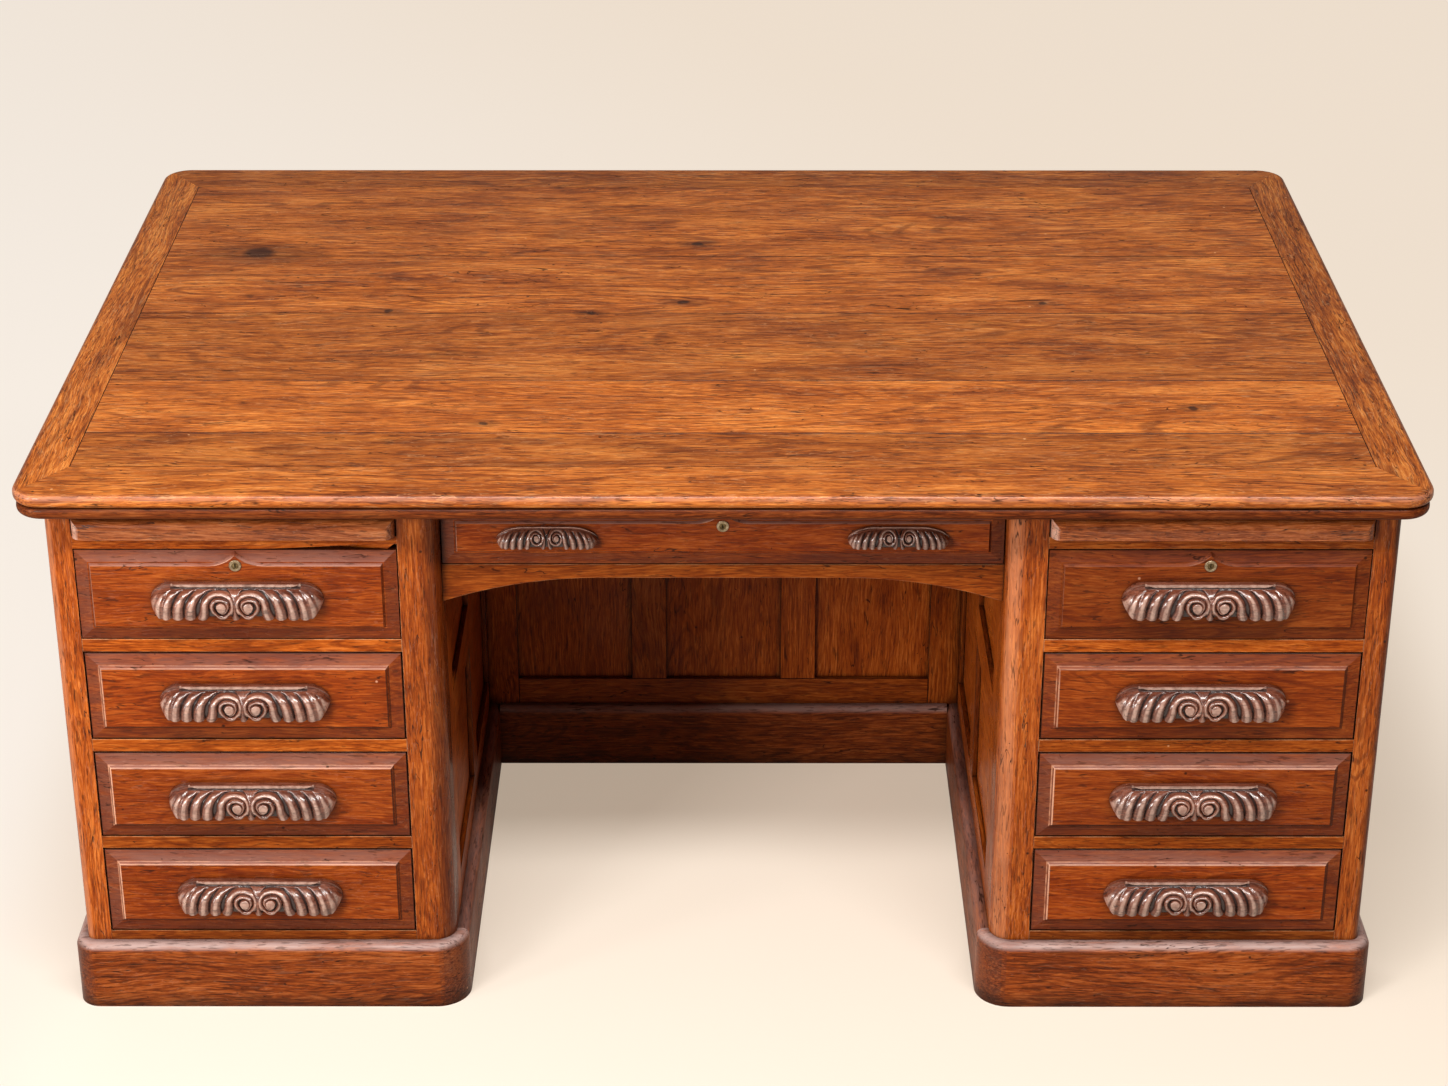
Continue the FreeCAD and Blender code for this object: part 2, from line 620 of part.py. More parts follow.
def pull(width, height, projection):
    """A carved pull's envelope: a bulging bar with rounded ends and a finger hollow underneath."""
    top, low = height / 2, -height / 2
    seat = -height * PULL_SEAT_SHARE
    ledge = -projection * PULL_TOP_SHARE
    shoulder = V(0, ledge, top - height * PULL_FILLET_SHARE)
    bulge = V(0, -projection, -height * PULL_BULGE_SHARE)
    chin = V(0, -projection * PULL_CHIN_SHARE, low)
    profile = [V(0, 0, top), V(0, ledge, top), shoulder, arc_to_plumb(shoulder, bulge),
               (arc_to_plumb(chin, bulge)[0], chin), V(0, 0, low)]
    bar = moved(prism(profile, V(width, 0, 0)), -width / 2, 0, 0)
    end = width * PULL_END_SHARE
    plan = [V(-width / 2, 0, low), V(width / 2, 0, low),
            (V(width / 2 - end * ARC_CORNER_SHARE, -projection * (1 - ARC_CORNER_SHARE), low),
             V(width / 2 - end, -projection, low)),
            V(-width / 2 + end, -projection, low),
            (V(-width / 2 + end * ARC_CORNER_SHARE, -projection * (1 - ARC_CORNER_SHARE), low),
             V(-width / 2, 0, low))]
    flat = width * PULL_FLAT_SHARE
    foot = width / 2 - width * PULL_CORNER_SHARE
    face = [V(-flat, 0, top), V(flat, 0, top)]
    face += [arc_from_level(V(flat, 0, top), V(width / 2, 0, seat)), V(foot, 0, low)]
    face += [V(-foot, 0, low), V(-width / 2, 0, seat)]
    face += [(arc_from_level(V(-flat, 0, top), V(-width / 2, 0, seat))[0], V(-flat, 0, top))]
    bar = bar.common(prism(plan, V(0, 0, height))).common(prism(face, V(0, -projection, 0)))
    inner_lip, roof = -projection * PULL_LIP_SHARE, -projection * PULL_HOLLOW_SHARE
    hollow = [V(0, OVERRUN, low - OVERRUN), V(0, inner_lip, low - OVERRUN), V(0, inner_lip, low),
              (V(0, inner_lip, (low + seat) / 2), V(0, roof, seat)), V(0, OVERRUN, seat)]
    span = width * PULL_SPAN_SHARE
    return bar.cut(moved(prism(hollow, V(span, 0, 0)), -span / 2, 0, 0))


def lock_pieces(drop):
    """A lock's case with its barrel and screws, its plug and its bolt, with its axis at the origin."""
    top = drop - FRONT_GAP
    back, inside = FRONT_EDGE, FRONT_EDGE + LOCK_WALL
    half, wall = LOCK_CASE_WIDTH / 2, LOCK_WALL
    low, rear = top - LOCK_CASE_HEIGHT, FRONT_EDGE + LOCK_CASE_DEPTH
    face = FIELD_PLANE - RIM_PROUD
    rim = cylinder(RIM_RADIUS, face, FIELD_PLANE)
    outer_edges = [e for e in rim.Edges if all(abs(v.Y - face) < TOLERANCE for v in e.Vertexes)]
    rim = rim.makeFillet(RIM_ROUND, outer_edges)
    middle = (low + top) / 2
    ears = box(-half - EAR_WIDTH, half + EAR_WIDTH, back, back + EAR_THICKNESS,
               middle - EAR_HEIGHT / 2, middle + EAR_HEIGHT / 2)
    barrel = cylinder(BARREL_RADIUS, FIELD_PLANE, back)
    body = fused([box(-half, half, back, rear, low, top), ears, barrel, rim])
    bolt_front = inside + BOLT_STANDOFF
    bolt_back = bolt_front + BOLT_THICKNESS
    ease = BOLT_CLEARANCE
    slot = box(-BOLT_WIDTH / 2 - ease, BOLT_WIDTH / 2 + ease, bolt_front - ease, bolt_back + ease,
               top - wall - OVERRUN, top + OVERRUN)
    hollow = box(-half + wall, half - wall, inside, rear - wall, low + wall, top - wall)
    bore = cylinder(PLUG_RADIUS + PLUG_CLEARANCE, face - OVERRUN, inside)
    screw_x = half + EAR_WIDTH / 2
    shanks = [cylinder(SCREW_SHANK_RADIUS, back - SCREW_DEPTH, back + EAR_THICKNESS, x, middle)
              for x in (-screw_x, screw_x)]
    case = body.cut([hollow, slot, bore] + shanks)
    head_low = back + EAR_THICKNESS
    head_high = head_low + SCREW_HEAD_HEIGHT
    screws = []
    for x, shank in zip((-screw_x, screw_x), shanks):
        head = cylinder(SCREW_HEAD_RADIUS, head_low, head_high, x, middle)
        cut = box(x - SCREW_HEAD_RADIUS, x + SCREW_HEAD_RADIUS, head_high - SCREW_SLOT_DEPTH,
                  head_high + OVERRUN, middle - SCREW_SLOT_WIDTH / 2, middle + SCREW_SLOT_WIDTH / 2)
        screws.append(fused([head.cut(cut), shank]))
    shoulder = inside + BOLT_STANDOFF / 2
    plug = fused([cylinder(PLUG_RADIUS, face + PLUG_RECESS, shoulder),
                  cylinder(CAM_SHAFT_RADIUS, shoulder, bolt_back),
                  box(0, CAM_LENGTH, bolt_front, bolt_back, -CAM_WIDTH / 2, CAM_WIDTH / 2)])
    keyway = box(-KEYWAY_WIDTH / 2, KEYWAY_WIDTH / 2, face, face + KEYWAY_DEPTH,
                 -KEYWAY_HEIGHT / 2, KEYWAY_HEIGHT / 2)
    reach = CAM_SHAFT_RADIUS + WINDOW_CLEARANCE
    window = box(-reach, CAM_LENGTH + WINDOW_CLEARANCE, bolt_front, bolt_back, -reach - BOLT_TRAVEL, reach)
    bolt = box(-BOLT_WIDTH / 2, BOLT_WIDTH / 2, bolt_front, bolt_back, -BOLT_TAIL, top - ease).cut(window)
    return [case] + screws, plug.cut(keyway), bolt, shanks


def build_lock(name, x, edge_plane, axis, pieces):
    case, plug, bolt, _ = pieces
    export(name + "_lock_case", [moved(s, x, edge_plane, axis) for s in case])
    export(name + "_lock_plug", [moved(plug, x, edge_plane, axis)])
    export(name + "_lock_bolt", [moved(bolt, x, edge_plane, axis)])


def lockable_front(front, axis, shanks):
    """Bores a front for a lock's barrel and screws."""
    bores = [cylinder(BARREL_RADIUS + BARREL_CLEARANCE, FIELD_PLANE - OVERRUN, FRONT_EDGE + OVERRUN, 0, axis)]
    return front.cut(bores + [moved(s, 0, 0, axis) for s in shanks])


def build_pedestal_drawers():
    low, high = FRONT_GAP, OPENING_HEIGHT - FRONT_GAP
    width = OPENING_WIDTH - 2 * FRONT_GAP
    box_solids, joints = drawer_box(OPENING_WIDTH, OPENING_HEIGHT, DRAWER_LENGTH)
    plain = raised_front(width, low, high, False).cut(joints)
    lock = lock_pieces(LOCK_DROP)
    axis = OPENING_HEIGHT - LOCK_DROP
    locked = lockable_front(raised_front(width, low, high, True).cut(joints), axis, lock[-1])
    handle = moved(pull(PULL_WIDTH, PULL_HEIGHT, PULL_PROJECTION), 0, FIELD_PLANE, OPENING_HEIGHT / 2)
    for side, x in (("left", OPENING_CENTRE), ("right", -OPENING_CENTRE)):
        for n in range(DRAWER_COUNT):
            name = side + "_drawer_" + str(n + 1)
            floor = FIRST_OPENING + (DRAWER_COUNT - 1 - n) * OPENING_PITCH
            export(name + "_front", [moved(locked if n == 0 else plain, x, FRONT, floor)])
            export(name + "_box", [moved(s, x, FRONT, floor) for s in box_solids])
            export(name + "_pull", [moved(handle, x, FRONT, floor)])
        top_floor = FIRST_OPENING + (DRAWER_COUNT - 1) * OPENING_PITCH
        build_lock(side, x, FRONT, top_floor + axis, lock)


def build_centre_drawer():
    low, high = FRONT_GAP, CENTRE_OPENING_HEIGHT - FRONT_GAP
    box_solids, joints = drawer_box(KNEEHOLE_WIDTH, CENTRE_OPENING_HEIGHT, CENTRE_DRAWER_LENGTH)
    lock = lock_pieces(CENTRE_LOCK_DROP)
    axis = CENTRE_OPENING_HEIGHT - CENTRE_LOCK_DROP
    front = raised_front(KNEEHOLE_WIDTH - 2 * FRONT_GAP, low, high, True).cut(joints)
    front = lockable_front(front, axis, lock[-1])
    handle = pull(SMALL_PULL_WIDTH, SMALL_PULL_HEIGHT, SMALL_PULL_PROJECTION)
    height = CENTRE_OPENING_HEIGHT / 2 + SMALL_PULL_RISE
    handles = [moved(handle, x, FIELD_PLANE, height) for x in (-SMALL_PULL_OFFSET, SMALL_PULL_OFFSET)]
    export("centre_drawer_front", [moved(front, 0, CENTRE_FRONT, CENTRE_FLOOR)])
    export("centre_drawer_box", [moved(s, 0, CENTRE_FRONT, CENTRE_FLOOR) for s in box_solids])
    export("centre_drawer_pulls", [moved(s, 0, CENTRE_FRONT, CENTRE_FLOOR) for s in handles])
    build_lock("centre", 0, CENTRE_FRONT, CENTRE_FLOOR + axis, lock)


def slide_lip():
    """The moulded lip of a writing slide, rounded over its top edge and round its two ends."""
    half = OPENING_WIDTH / 2 - FRONT_GAP
    low, high = SLIDE_FLOOR + LIP_GAP, TOP_RAIL_BOTTOM - LIP_GAP
    out, deep = LIP_PROJECTION, SLIDE_SETBACK
    soft = out * ARC_CORNER_SHARE
    profile = [V(-half, deep, low), V(-half, -out, low), V(-half, -out, high - out),
               (V(-half, -out + soft, high - soft), V(-half, 0, high)), V(-half, deep, high)]
    plan = [V(-half, deep, low), V(-half, 0, low),
            (V(-half + soft, -out + soft, low), V(-half + out, -out, low)),
            V(half - out, -out, low), (V(half - soft, -out + soft, low), V(half, 0, low)), V(half, deep, low)]
    return prism(profile, V(2 * half, 0, 0)).common(prism(plan, V(0, 0, high - low)))


def build_slides():
    half = OPENING_WIDTH / 2 - FRONT_GAP
    floor = SLIDE_FLOOR + RUN_CLEARANCE
    board = box(-half, half, SLIDE_SETBACK, SLIDE_SETBACK + SLIDE_LENGTH, floor, floor + SLIDE_THICKNESS)
    lip = slide_lip()
    for side, x in (("left", OPENING_CENTRE), ("right", -OPENING_CENTRE)):
        export(side + "_slide_board", [moved(board, x, FRONT, 0)])
        export(side + "_slide_lip", [moved(lip, x, FRONT, 0)])


os.makedirs("parts", exist_ok=True)
build_top()
build_edge_moulding()
build_fixing_blocks()
build_posts()
build_plinths()
build_drawer_rails()
build_walls()
build_partition()
build_kneehole_front()
build_runners()
build_pedestal_drawers()
build_centre_drawer()
build_slides()
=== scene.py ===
import bpy
import bmesh
import functools
import json
import math
import random
import numpy as np
from mathutils import Color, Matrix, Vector


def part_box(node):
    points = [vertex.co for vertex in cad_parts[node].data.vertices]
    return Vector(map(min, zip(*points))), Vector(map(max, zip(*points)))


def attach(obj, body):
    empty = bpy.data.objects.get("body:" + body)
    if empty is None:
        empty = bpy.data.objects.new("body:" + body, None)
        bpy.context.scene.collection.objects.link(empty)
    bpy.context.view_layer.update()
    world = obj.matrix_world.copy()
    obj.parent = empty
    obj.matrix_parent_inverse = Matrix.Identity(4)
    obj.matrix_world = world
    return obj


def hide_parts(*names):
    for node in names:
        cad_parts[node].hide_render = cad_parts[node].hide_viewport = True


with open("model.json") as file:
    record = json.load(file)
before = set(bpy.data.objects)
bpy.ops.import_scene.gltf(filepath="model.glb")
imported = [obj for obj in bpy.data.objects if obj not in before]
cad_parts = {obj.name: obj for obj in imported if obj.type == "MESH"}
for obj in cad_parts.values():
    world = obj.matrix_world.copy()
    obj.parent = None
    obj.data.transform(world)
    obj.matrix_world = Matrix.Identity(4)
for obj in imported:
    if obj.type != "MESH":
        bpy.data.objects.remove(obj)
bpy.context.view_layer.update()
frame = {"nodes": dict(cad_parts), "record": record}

# Pedestal writing desk in worn polished wood. All lengths are metres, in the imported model's frame.

nodes = frame["nodes"]
bodies = frame["record"]["behaviour"]["bodies"]
slot_of = {part["node"]: part["material_slot"] for part in frame["record"]["subparts"]}
body_of = {node: body for body, members in bodies.items() for node in members}
chance = random.Random(11)
MM = 0.001


# Shader helper

HOLLOW_SAMPLES = 6
# Sockets of a colour mix
MIX_FACTOR, MIX_FIRST, MIX_SECOND, MIX_COLOUR = 0, 6, 7, 2

RAY_KINDS = ("Camera", "Glossy", "Transmission")
POLISH_INPUTS = ("Specular IOR Level", "Coat Weight", "Coat Roughness")


class Graph:
    """Adds shader nodes to a material or world. Inputs are plain values or the outputs of other nodes."""

    def __init__(self, owner):
        owner.use_nodes = True
        self.tree = owner.node_tree
        self.shader = self.tree.nodes.get("Principled BSDF")

    def put(self, socket, value):
        if isinstance(value, bpy.types.NodeSocket):
            self.tree.links.new(value, socket)
        else:
            socket.default_value = value

    def add(self, kind, inputs, output=0, **settings):
        node = self.tree.nodes.new("ShaderNode" + kind)
        for key, value in settings.items():
            setattr(node, key, value)
        for key, value in inputs.items():
            self.put(node.inputs[key], value)
        return node.outputs[output]

    def surface(self, **inputs):
        for key, value in inputs.items():
            self.put(self.shader.inputs[key.replace("_", " ")], value)

    def place(self):
        return self.add("TexCoord", {}, "Object")

    def level(self, name, output="Fac"):
        """What each vertex of the mesh carries."""
        return self.add("Attribute", {}, output, attribute_name=name, attribute_type="GEOMETRY")

    def vector(self, operation, a, b=(0.0, 0.0, 0.0), output=0):
        return self.add("VectorMath", {0: a, 1: b}, output, operation=operation)

    def noise(self, vector, scale, detail=3.0, rough=0.55, distortion=0.0):
        levels = {"Scale": 1.0, "Detail": detail, "Roughness": rough, "Distortion": distortion}
        return self.add("TexNoise", {"Vector": self.vector("MULTIPLY", vector, scale), **levels})

    def math(self, operation, a, b=0.0):
        return self.add("Math", {0: a, 1: b}, operation=operation)

    def times(self, a, b):
        return self.math("MULTIPLY", a, b)

    def larger(self, a, b):
        return self.math("MAXIMUM", a, b)

    def band(self, value, low, high, bottom=0.0, top=1.0):
        """Maps low..high to bottom..top with soft ends."""
        ends = {"From Min": low, "From Max": high, "To Min": bottom, "To Max": top}
        return self.add("MapRange", {"Value": value, **ends}, interpolation_type="SMOOTHSTEP")

    def mix(self, factor, a, b):
        inputs = {MIX_FACTOR: factor, MIX_FIRST: a, MIX_SECOND: b}
        return self.add("Mix", inputs, MIX_COLOUR, data_type="RGBA")

    def rays(self):
        """Whether a ray comes from the camera, and whether from a mirroring or clear surface."""
        seen, glossy, through = [self.add("LightPath", {}, f"Is {kind} Ray") for kind in RAY_KINDS]
        return seen, self.larger(glossy, through)

    def ramp(self, factor, stops, colours):
        colour = self.add("ValToRGB", {0: factor})
        elements = colour.node.color_ramp.elements
        while len(elements) < len(stops):
            elements.new(stops[-1])
        for element, stop, shade in zip(elements, stops, colours):
            element.position = stop
            element.color = shade
        return colour

    def hollows(self, distance, **settings):
        """Near 1 in the open and lower in corners and grooves."""
        return self.add("AmbientOcclusion", {"Distance": distance}, "AO", samples=HOLLOW_SAMPLES, **settings)

    def bump(self, height, strength, distance, under=None):
        inputs = {"Height": height, "Strength": strength, "Distance": distance}
        if under is not None:
            inputs["Normal"] = under
        return self.add("Bump", inputs)

    def polish(self, *levels):
        """A thin coat of old polish over the wood's own shine."""
        for key, level in zip(POLISH_INPUTS, levels):
            self.shader.inputs[key].default_value = level


FULL_LEVEL = 255


def tint(*levels):
    """A colour written as it looks on a screen, 0 to 255, in the linear light that the shaders use."""
    return (*Color([level / FULL_LEVEL for level in levels]).from_srgb_to_scene_linear(), 1.0)


# Wood. The grain attribute runs (along, across, through) each board, with its own start on each board.

# Dark of pores, cracks, dents, knots and joints, and also of painted shade in corners and along shaded edges
SOOT_AND_SHADE = tint(40, 14, 5)
# Colour of the painted shade laid over whole boards by their shade level
PAINTED_SHADE = tint(38, 13, 2)

# Noises: scale along, across and through the grain, then detail, roughness and distortion
SLOW_SWAY, QUICK_SWAY = ((1.3, 6.0, 6.0), 2.0), ((9.0, 34.0, 34.0), 2.0)
STREAKS = ((8.0, 150.0, 150.0), 4.0, 0.66, 0.8)
CLOUDS = ((4.5, 16.0, 16.0), 4.0, 0.62, 0.5)
FIBRES = ((30.0, 480.0, 480.0), 3.0, 0.75, 0.5)
RINGS = ((0.9, 7.0, 7.0), 2.0, 0.5, 0.5)
RING_PATCHES = ((5.0, 30.0, 30.0), 3.0)
PORES = ((46.0, 380.0, 380.0), 2.0, 0.5)
CRACKS = ((6.0, 52.0, 52.0), 3.0, 0.6, 0.6)
CRACK_PATCHES = ((13.0, 60.0, 60.0), 3.0)
GLINTS = ((9.0, 88.0, 88.0), 3.0, 0.6, 0.6)
FILM_STREAKS = ((9.0, 60.0, 60.0), 5.0, 0.7)

# Noises in the desk's own frame
RUBBED_AND_LIT_PATCHES = ((38.0, 38.0, 38.0), 4.0, 0.65)
SATIN = ((9.0, 9.0, 9.0), 4.0, 0.6)
WAVES = ((26.0, 26.0, 26.0), 2.0)

# Noises that push the grain aside, and how far
SWAYS = ((SLOW_SWAY, 0.07), (QUICK_SWAY, 0.012))

# How much each layer counts, and the ends of their sum
STREAK_SHARE, CLOUD_SHARE, FIBRE_SHARE = 0.46, 0.48, 0.84
LEVEL_ENDS = (0.61, 1.17)
SHADE_STOPS = (0.14, 0.38, 0.58, 0.86)
RING_TURNS = 150.0

# Bands: from low to high, and what they give at both ends when that is not 0 and 1
RING_BAND = (0.35, 0.95)
RING_BOLD_BAND = (0.35, 0.65, 0.10, 0.55)
TONE_BAND = (0.0, 1.0, 0.84, 1.12)
FILM_STREAK_BAND = (0.30, 0.62, 0.45, 1.0)
FILM_SHADE_BAND = (0.0, 0.4, 1.0, 0.25)
GLINT_SHADE_BAND = (0.0, 0.2, 1.0, 0.0)
RUBBED_AND_LIT_BAND = (0.36, 0.60, 0.1, 1.0)
HOLLOW_BAND = (0.95, 0.35)
SATIN_BAND = (0.3, 0.7)


def finer(noise, times):
    """A noise with its scale multiplied."""
    scale, *rest = noise
    return (tuple(times * part for part in scale), *rest)


def swaying(graph, grain):
    """The grain's place, pushed slowly from side to side so that streaks aren't ruler straight."""
    pushes = [graph.times(graph.noise(grain, *noise), reach) for noise, reach in SWAYS]
    return graph.vector("ADD", grain, graph.add("CombineXYZ", {"Y": graph.math("ADD", *pushes)}))


def grain_colour(graph, grain, shades, fine=1.0):
    """Streaks over broad clouds, with fine fibres in them, coloured by four shades from dark to light."""
    bent = swaying(graph, grain)
    fibres = graph.noise(bent, *FIBRES)
    level = graph.math("ADD", graph.times(graph.noise(bent, *finer(STREAKS, fine)), STREAK_SHARE),
                       graph.times(graph.noise(bent, *CLOUDS), CLOUD_SHARE))
    level = graph.math("ADD", level, graph.times(fibres, FIBRE_SHARE))
    low, high = LEVEL_ENDS
    spread = graph.add("MapRange", {"Value": level, "From Min": low, "From Max": high})
    colour = graph.ramp(spread, SHADE_STOPS, shades)
    return graph.mix(growth_rings(graph, bent, fine), colour, shades[0]), bent, fibres


def growth_rings(graph, bent, fine):
    """Thin dark rings drawn out along the board, closer and bolder in some places than in others."""
    wave = graph.math("SINE", graph.times(graph.noise(bent, *finer(RINGS, fine)), RING_TURNS))
    bold = graph.band(graph.noise(bent, *RING_PATCHES), *RING_BOLD_BAND)
    return graph.times(graph.band(wave, *RING_BAND), bold)


NOISE_MIDDLE = 0.5
LINE_CORE_SHARE = 0.25


def contour(graph, bent, noise, half):
    """Thin wavy lines along the grain, where a stretched noise passes its middle."""
    off = graph.math("ABSOLUTE", graph.math("SUBTRACT", graph.noise(bent, *noise), NOISE_MIDDLE))
    return graph.band(off, half, half * LINE_CORE_SHARE)


PORE_ENDS, CRACK_PATCH_ENDS = (0.61, 0.67), (0.53, 0.62)
PORE_SHARE, CRACK_SHARE = 0.50, 0.85
CRACK_HALF, GLINT_HALF = 0.011, 0.012


def dashes(graph, bent, density):
    """Dark marks along the grain: open pores, and longer cracks filled with old polish."""
    pores = graph.band(graph.noise(bent, *PORES), *[end - density for end in PORE_ENDS])
    gathered = graph.band(graph.noise(bent, *CRACK_PATCHES), *[end - density for end in CRACK_PATCH_ENDS])
    cracks = graph.times(contour(graph, bent, CRACKS, CRACK_HALF), gathered)
    return graph.times(pores, PORE_SHARE), graph.times(cracks, CRACK_SHARE)


SPECK_PICK_SHARE, SPECK_CORE_SHARE = 0.96, 0.4


def specks(graph, place, share, cells, size):
    """Small marks in a share of the cells of a loose grid."""
    near = graph.add("TexVoronoi", {"Vector": place, "Scale": cells}, "Distance")
    pick = graph.add("SeparateColor", {0: near.node.outputs["Color"]})
    chosen = graph.band(pick, 1.0 - share, 1.0 - share * SPECK_PICK_SHARE)
    return graph.times(graph.band(near, size, size * SPECK_CORE_SHARE), chosen)


KNOT_WILDNESS, KNOT_WOBBLE = 60.0, (0.010, 0.010, 0.0)
KNOT_SOLID_SHARE = 0.35
# A knot's core and its smear: reach along and across the grain in radii, and strength
KNOT_LAYERS = ((1.2, 1.1, 0.90), (3.6, 1.7, 0.40))


def knot_marks(graph, place, knots):
    """Dark round knots on the top, each with a smear along the grain. A knot is (x, y, radius)."""
    total = 0.0
    wild = graph.add("TexNoise", {"Vector": place, "Scale": KNOT_WILDNESS}, "Color")
    moved = graph.vector("ADD", place, graph.vector("MULTIPLY", wild, KNOT_WOBBLE))
    for x, y, radius in knots:
        off = graph.vector("SUBTRACT", moved, (x, y, 0.0))
        for along, across, strength in KNOT_LAYERS:
            scale = (1.0 / (radius * along), 1.0 / (radius * across), 0.0)
            far = graph.vector("LENGTH", graph.vector("MULTIPLY", off, scale), output="Value")
            total = graph.larger(total, graph.band(far, 1.0, KNOT_SOLID_SHARE, 0.0, strength))
    return total


# Dents and nicks: cells in a metre, and the size of a mark as a share of its cell
BIG_DENTS, SMALL_DENTS, NICKS = (30.0, 0.085), (62.0, 0.075), (21.0, 0.05)
DENT_SHARE, NICK_SHARE, NICKED_SHARE = 0.85, 0.75, 0.6
RUBBED_AND_LIT_SHARE, DARK_EDGE_SHARE = 0.6, 0.95
HOLLOW_REACH = 0.024


def dent_marks(graph, place, share):
    """Small dark dents of two sizes."""
    return graph.larger(specks(graph, place, share, *BIG_DENTS), specks(graph, place, share, *SMALL_DENTS))


def nicks(graph, place, share):
    """A few pale nicks through the polish."""
    return graph.times(specks(graph, place, share * NICKED_SHARE, *NICKS), NICK_SHARE)


def glints(graph, bent, strength):
    """Fine pale lines along the grain, left off boards with painted shade."""
    lines = graph.times(contour(graph, bent, GLINTS, GLINT_HALF), strength)
    return graph.times(lines, graph.band(graph.level("shade"), *GLINT_SHADE_BAND))


def rubbed_and_lit_edges(graph, place):
    """Pale wood where edges are worn through, in patches, and painted highlights on the lit edges of drawer
    fronts.
    """
    patchy = graph.band(graph.noise(place, *RUBBED_AND_LIT_PATCHES), *RUBBED_AND_LIT_BAND)
    return graph.times(graph.larger(graph.level("wear_and_shading"), 0.0), graph.times(patchy, RUBBED_AND_LIT_SHARE))


def joints_and_shaded_edges(graph):
    """Dirt in the top's joints, and painted shade on panel edges, beside drawer gaps and on fields' shaded
    edges.
    """
    return graph.larger(graph.times(graph.level("wear_and_shading"), -DARK_EDGE_SHARE), 0.0)


def film_strength(graph, grain):
    """How strong a film is: streaky, and thin on boards with painted shade."""
    streaky = graph.band(graph.noise(grain, *FILM_STREAKS), *FILM_STREAK_BAND)
    return graph.times(streaky, graph.band(graph.level("shade"), *FILM_SHADE_BAND))


SMOOTHEST, ROUGHEST = -0.07, 0.09
CRACK_ROUGHNESS, SHADE_ROUGHNESS = 0.3, 0.5
FIBRE_RELIEF, PORE_RELIEF, DENT_RELIEF = 0.35, 0.8, 2.2
FINE_BUMP, BROAD_BUMP = (0.35, 0.6 * MM), (0.12, 4.0 * MM)


def satin_gloss(graph, place, roughness, cracks):
    """Uneven polish, dull in cracks and on boards with painted shade."""
    gloss = graph.band(graph.noise(place, *SATIN), *SATIN_BAND, roughness + SMOOTHEST, roughness + ROUGHEST)
    gloss = graph.math("ADD", gloss, graph.times(cracks, CRACK_ROUGHNESS))
    return graph.math("ADD", gloss, graph.times(graph.level("shade"), SHADE_ROUGHNESS))


def grain_relief(graph, place, fibres, pores, cracks, marks):
    """Fibres, sunken pores, cracks and dents, on a surface that waves a little."""
    relief = graph.math("SUBTRACT", graph.times(fibres, FIBRE_RELIEF), graph.times(pores, PORE_RELIEF))
    relief = graph.math("SUBTRACT", relief, cracks)
    relief = graph.math("SUBTRACT", relief, graph.times(marks, DENT_RELIEF))
    return graph.bump(graph.noise(place, *WAVES), *BROAD_BUMP, graph.bump(relief, *FINE_BUMP))


def wood(name, shades, worn_and_lit, roughness, density=0.0, corner_shade_strength=0.7, dents=0.16, knots=(), glint=0.08,
         shine=(0.12, 0.10, 0.20), fine=1.8):
    """Old polished wood: films of painted light, shade and dust, dark pores and dents, pale worn places,
    painted shade in corners.
    """
    material = bpy.data.materials.new(name)
    graph = Graph(material)
    shades, worn_and_lit = [tint(*shade) for shade in shades], tint(*worn_and_lit)
    grain, place = graph.level("grain", "Vector"), graph.place()
    colour, bent, fibres = grain_colour(graph, grain, shades, fine)
    tone = graph.band(graph.level("tone"), *TONE_BAND)
    colour = graph.add("HueSaturation", {"Value": tone, "Color": colour})
    strength = film_strength(graph, grain)
    # Films of painted sheen, highlight and shade, and of dust
    for film_colour, *layers in PAINTED_LIGHT_AND_DUST.get(name, ()):
        colour = graph.mix(graph.times(film_cover(graph, layers), strength), colour, tint(*film_colour))
    pores, cracks = dashes(graph, bent, density)
    marks = dent_marks(graph, place, dents)
    darks = [pores, cracks, graph.times(marks, DENT_SHARE)]
    if knots:
        darks.append(knot_marks(graph, place, knots))
    for dark in darks:
        colour = graph.mix(dark, colour, SOOT_AND_SHADE)
    for pale in (nicks(graph, place, dents), glints(graph, bent, glint), rubbed_and_lit_edges(graph, place)):
        colour = graph.mix(pale, colour, worn_and_lit)
    # Painted shade: darker in corners, gaps and where parts meet, where the occlusion finds them
    corner_shade = graph.times(graph.band(graph.hollows(HOLLOW_REACH), *HOLLOW_BAND), corner_shade_strength)
    for dark in (joints_and_shaded_edges(graph), corner_shade):
        colour = graph.mix(dark, colour, SOOT_AND_SHADE)
    # Painted shade over whole boards, by each board's shade level
    colour = graph.mix(graph.level("shade"), colour, PAINTED_SHADE)
    graph.surface(Base_Color=colour, Roughness=satin_gloss(graph, place, roughness, cracks),
                  Normal=grain_relief(graph, place, fibres, pores, cracks, marks))
    graph.polish(*shine)
    return material


PULL_SHADES = (tint(64, 27, 16), tint(92, 46, 31), tint(114, 64, 46), tint(140, 86, 66))
PULL_RUBBED_HIGHLIGHT, PULL_GROOVE_SHADE = tint(226, 188, 170), tint(36, 14, 9)
PULL_PATCHES, PULL_SATIN = ((140.0, 140.0, 140.0), 3.0), ((60.0, 60.0, 60.0), 3.0)
PULL_PATCH_BAND, PULL_SATIN_BAND = (0.3, 0.7, 0.4, 1.0), (0.3, 0.7, 0.22, 0.38)
CREST_BAND, GROOVE_SHADE_BAND, DULL_GROOVE_BAND = (0.86, 1.0), (0.70, 0.16, 0.0, 0.95), (0.6, 0.1, 0.0, 0.4)
PULL_RUBBED_HIGHLIGHT_SHARE = 0.62
PULL_BUMP = (0.25, 0.5 * MM)
PULL_SHINE = (0.46, 1.0, 0.11)


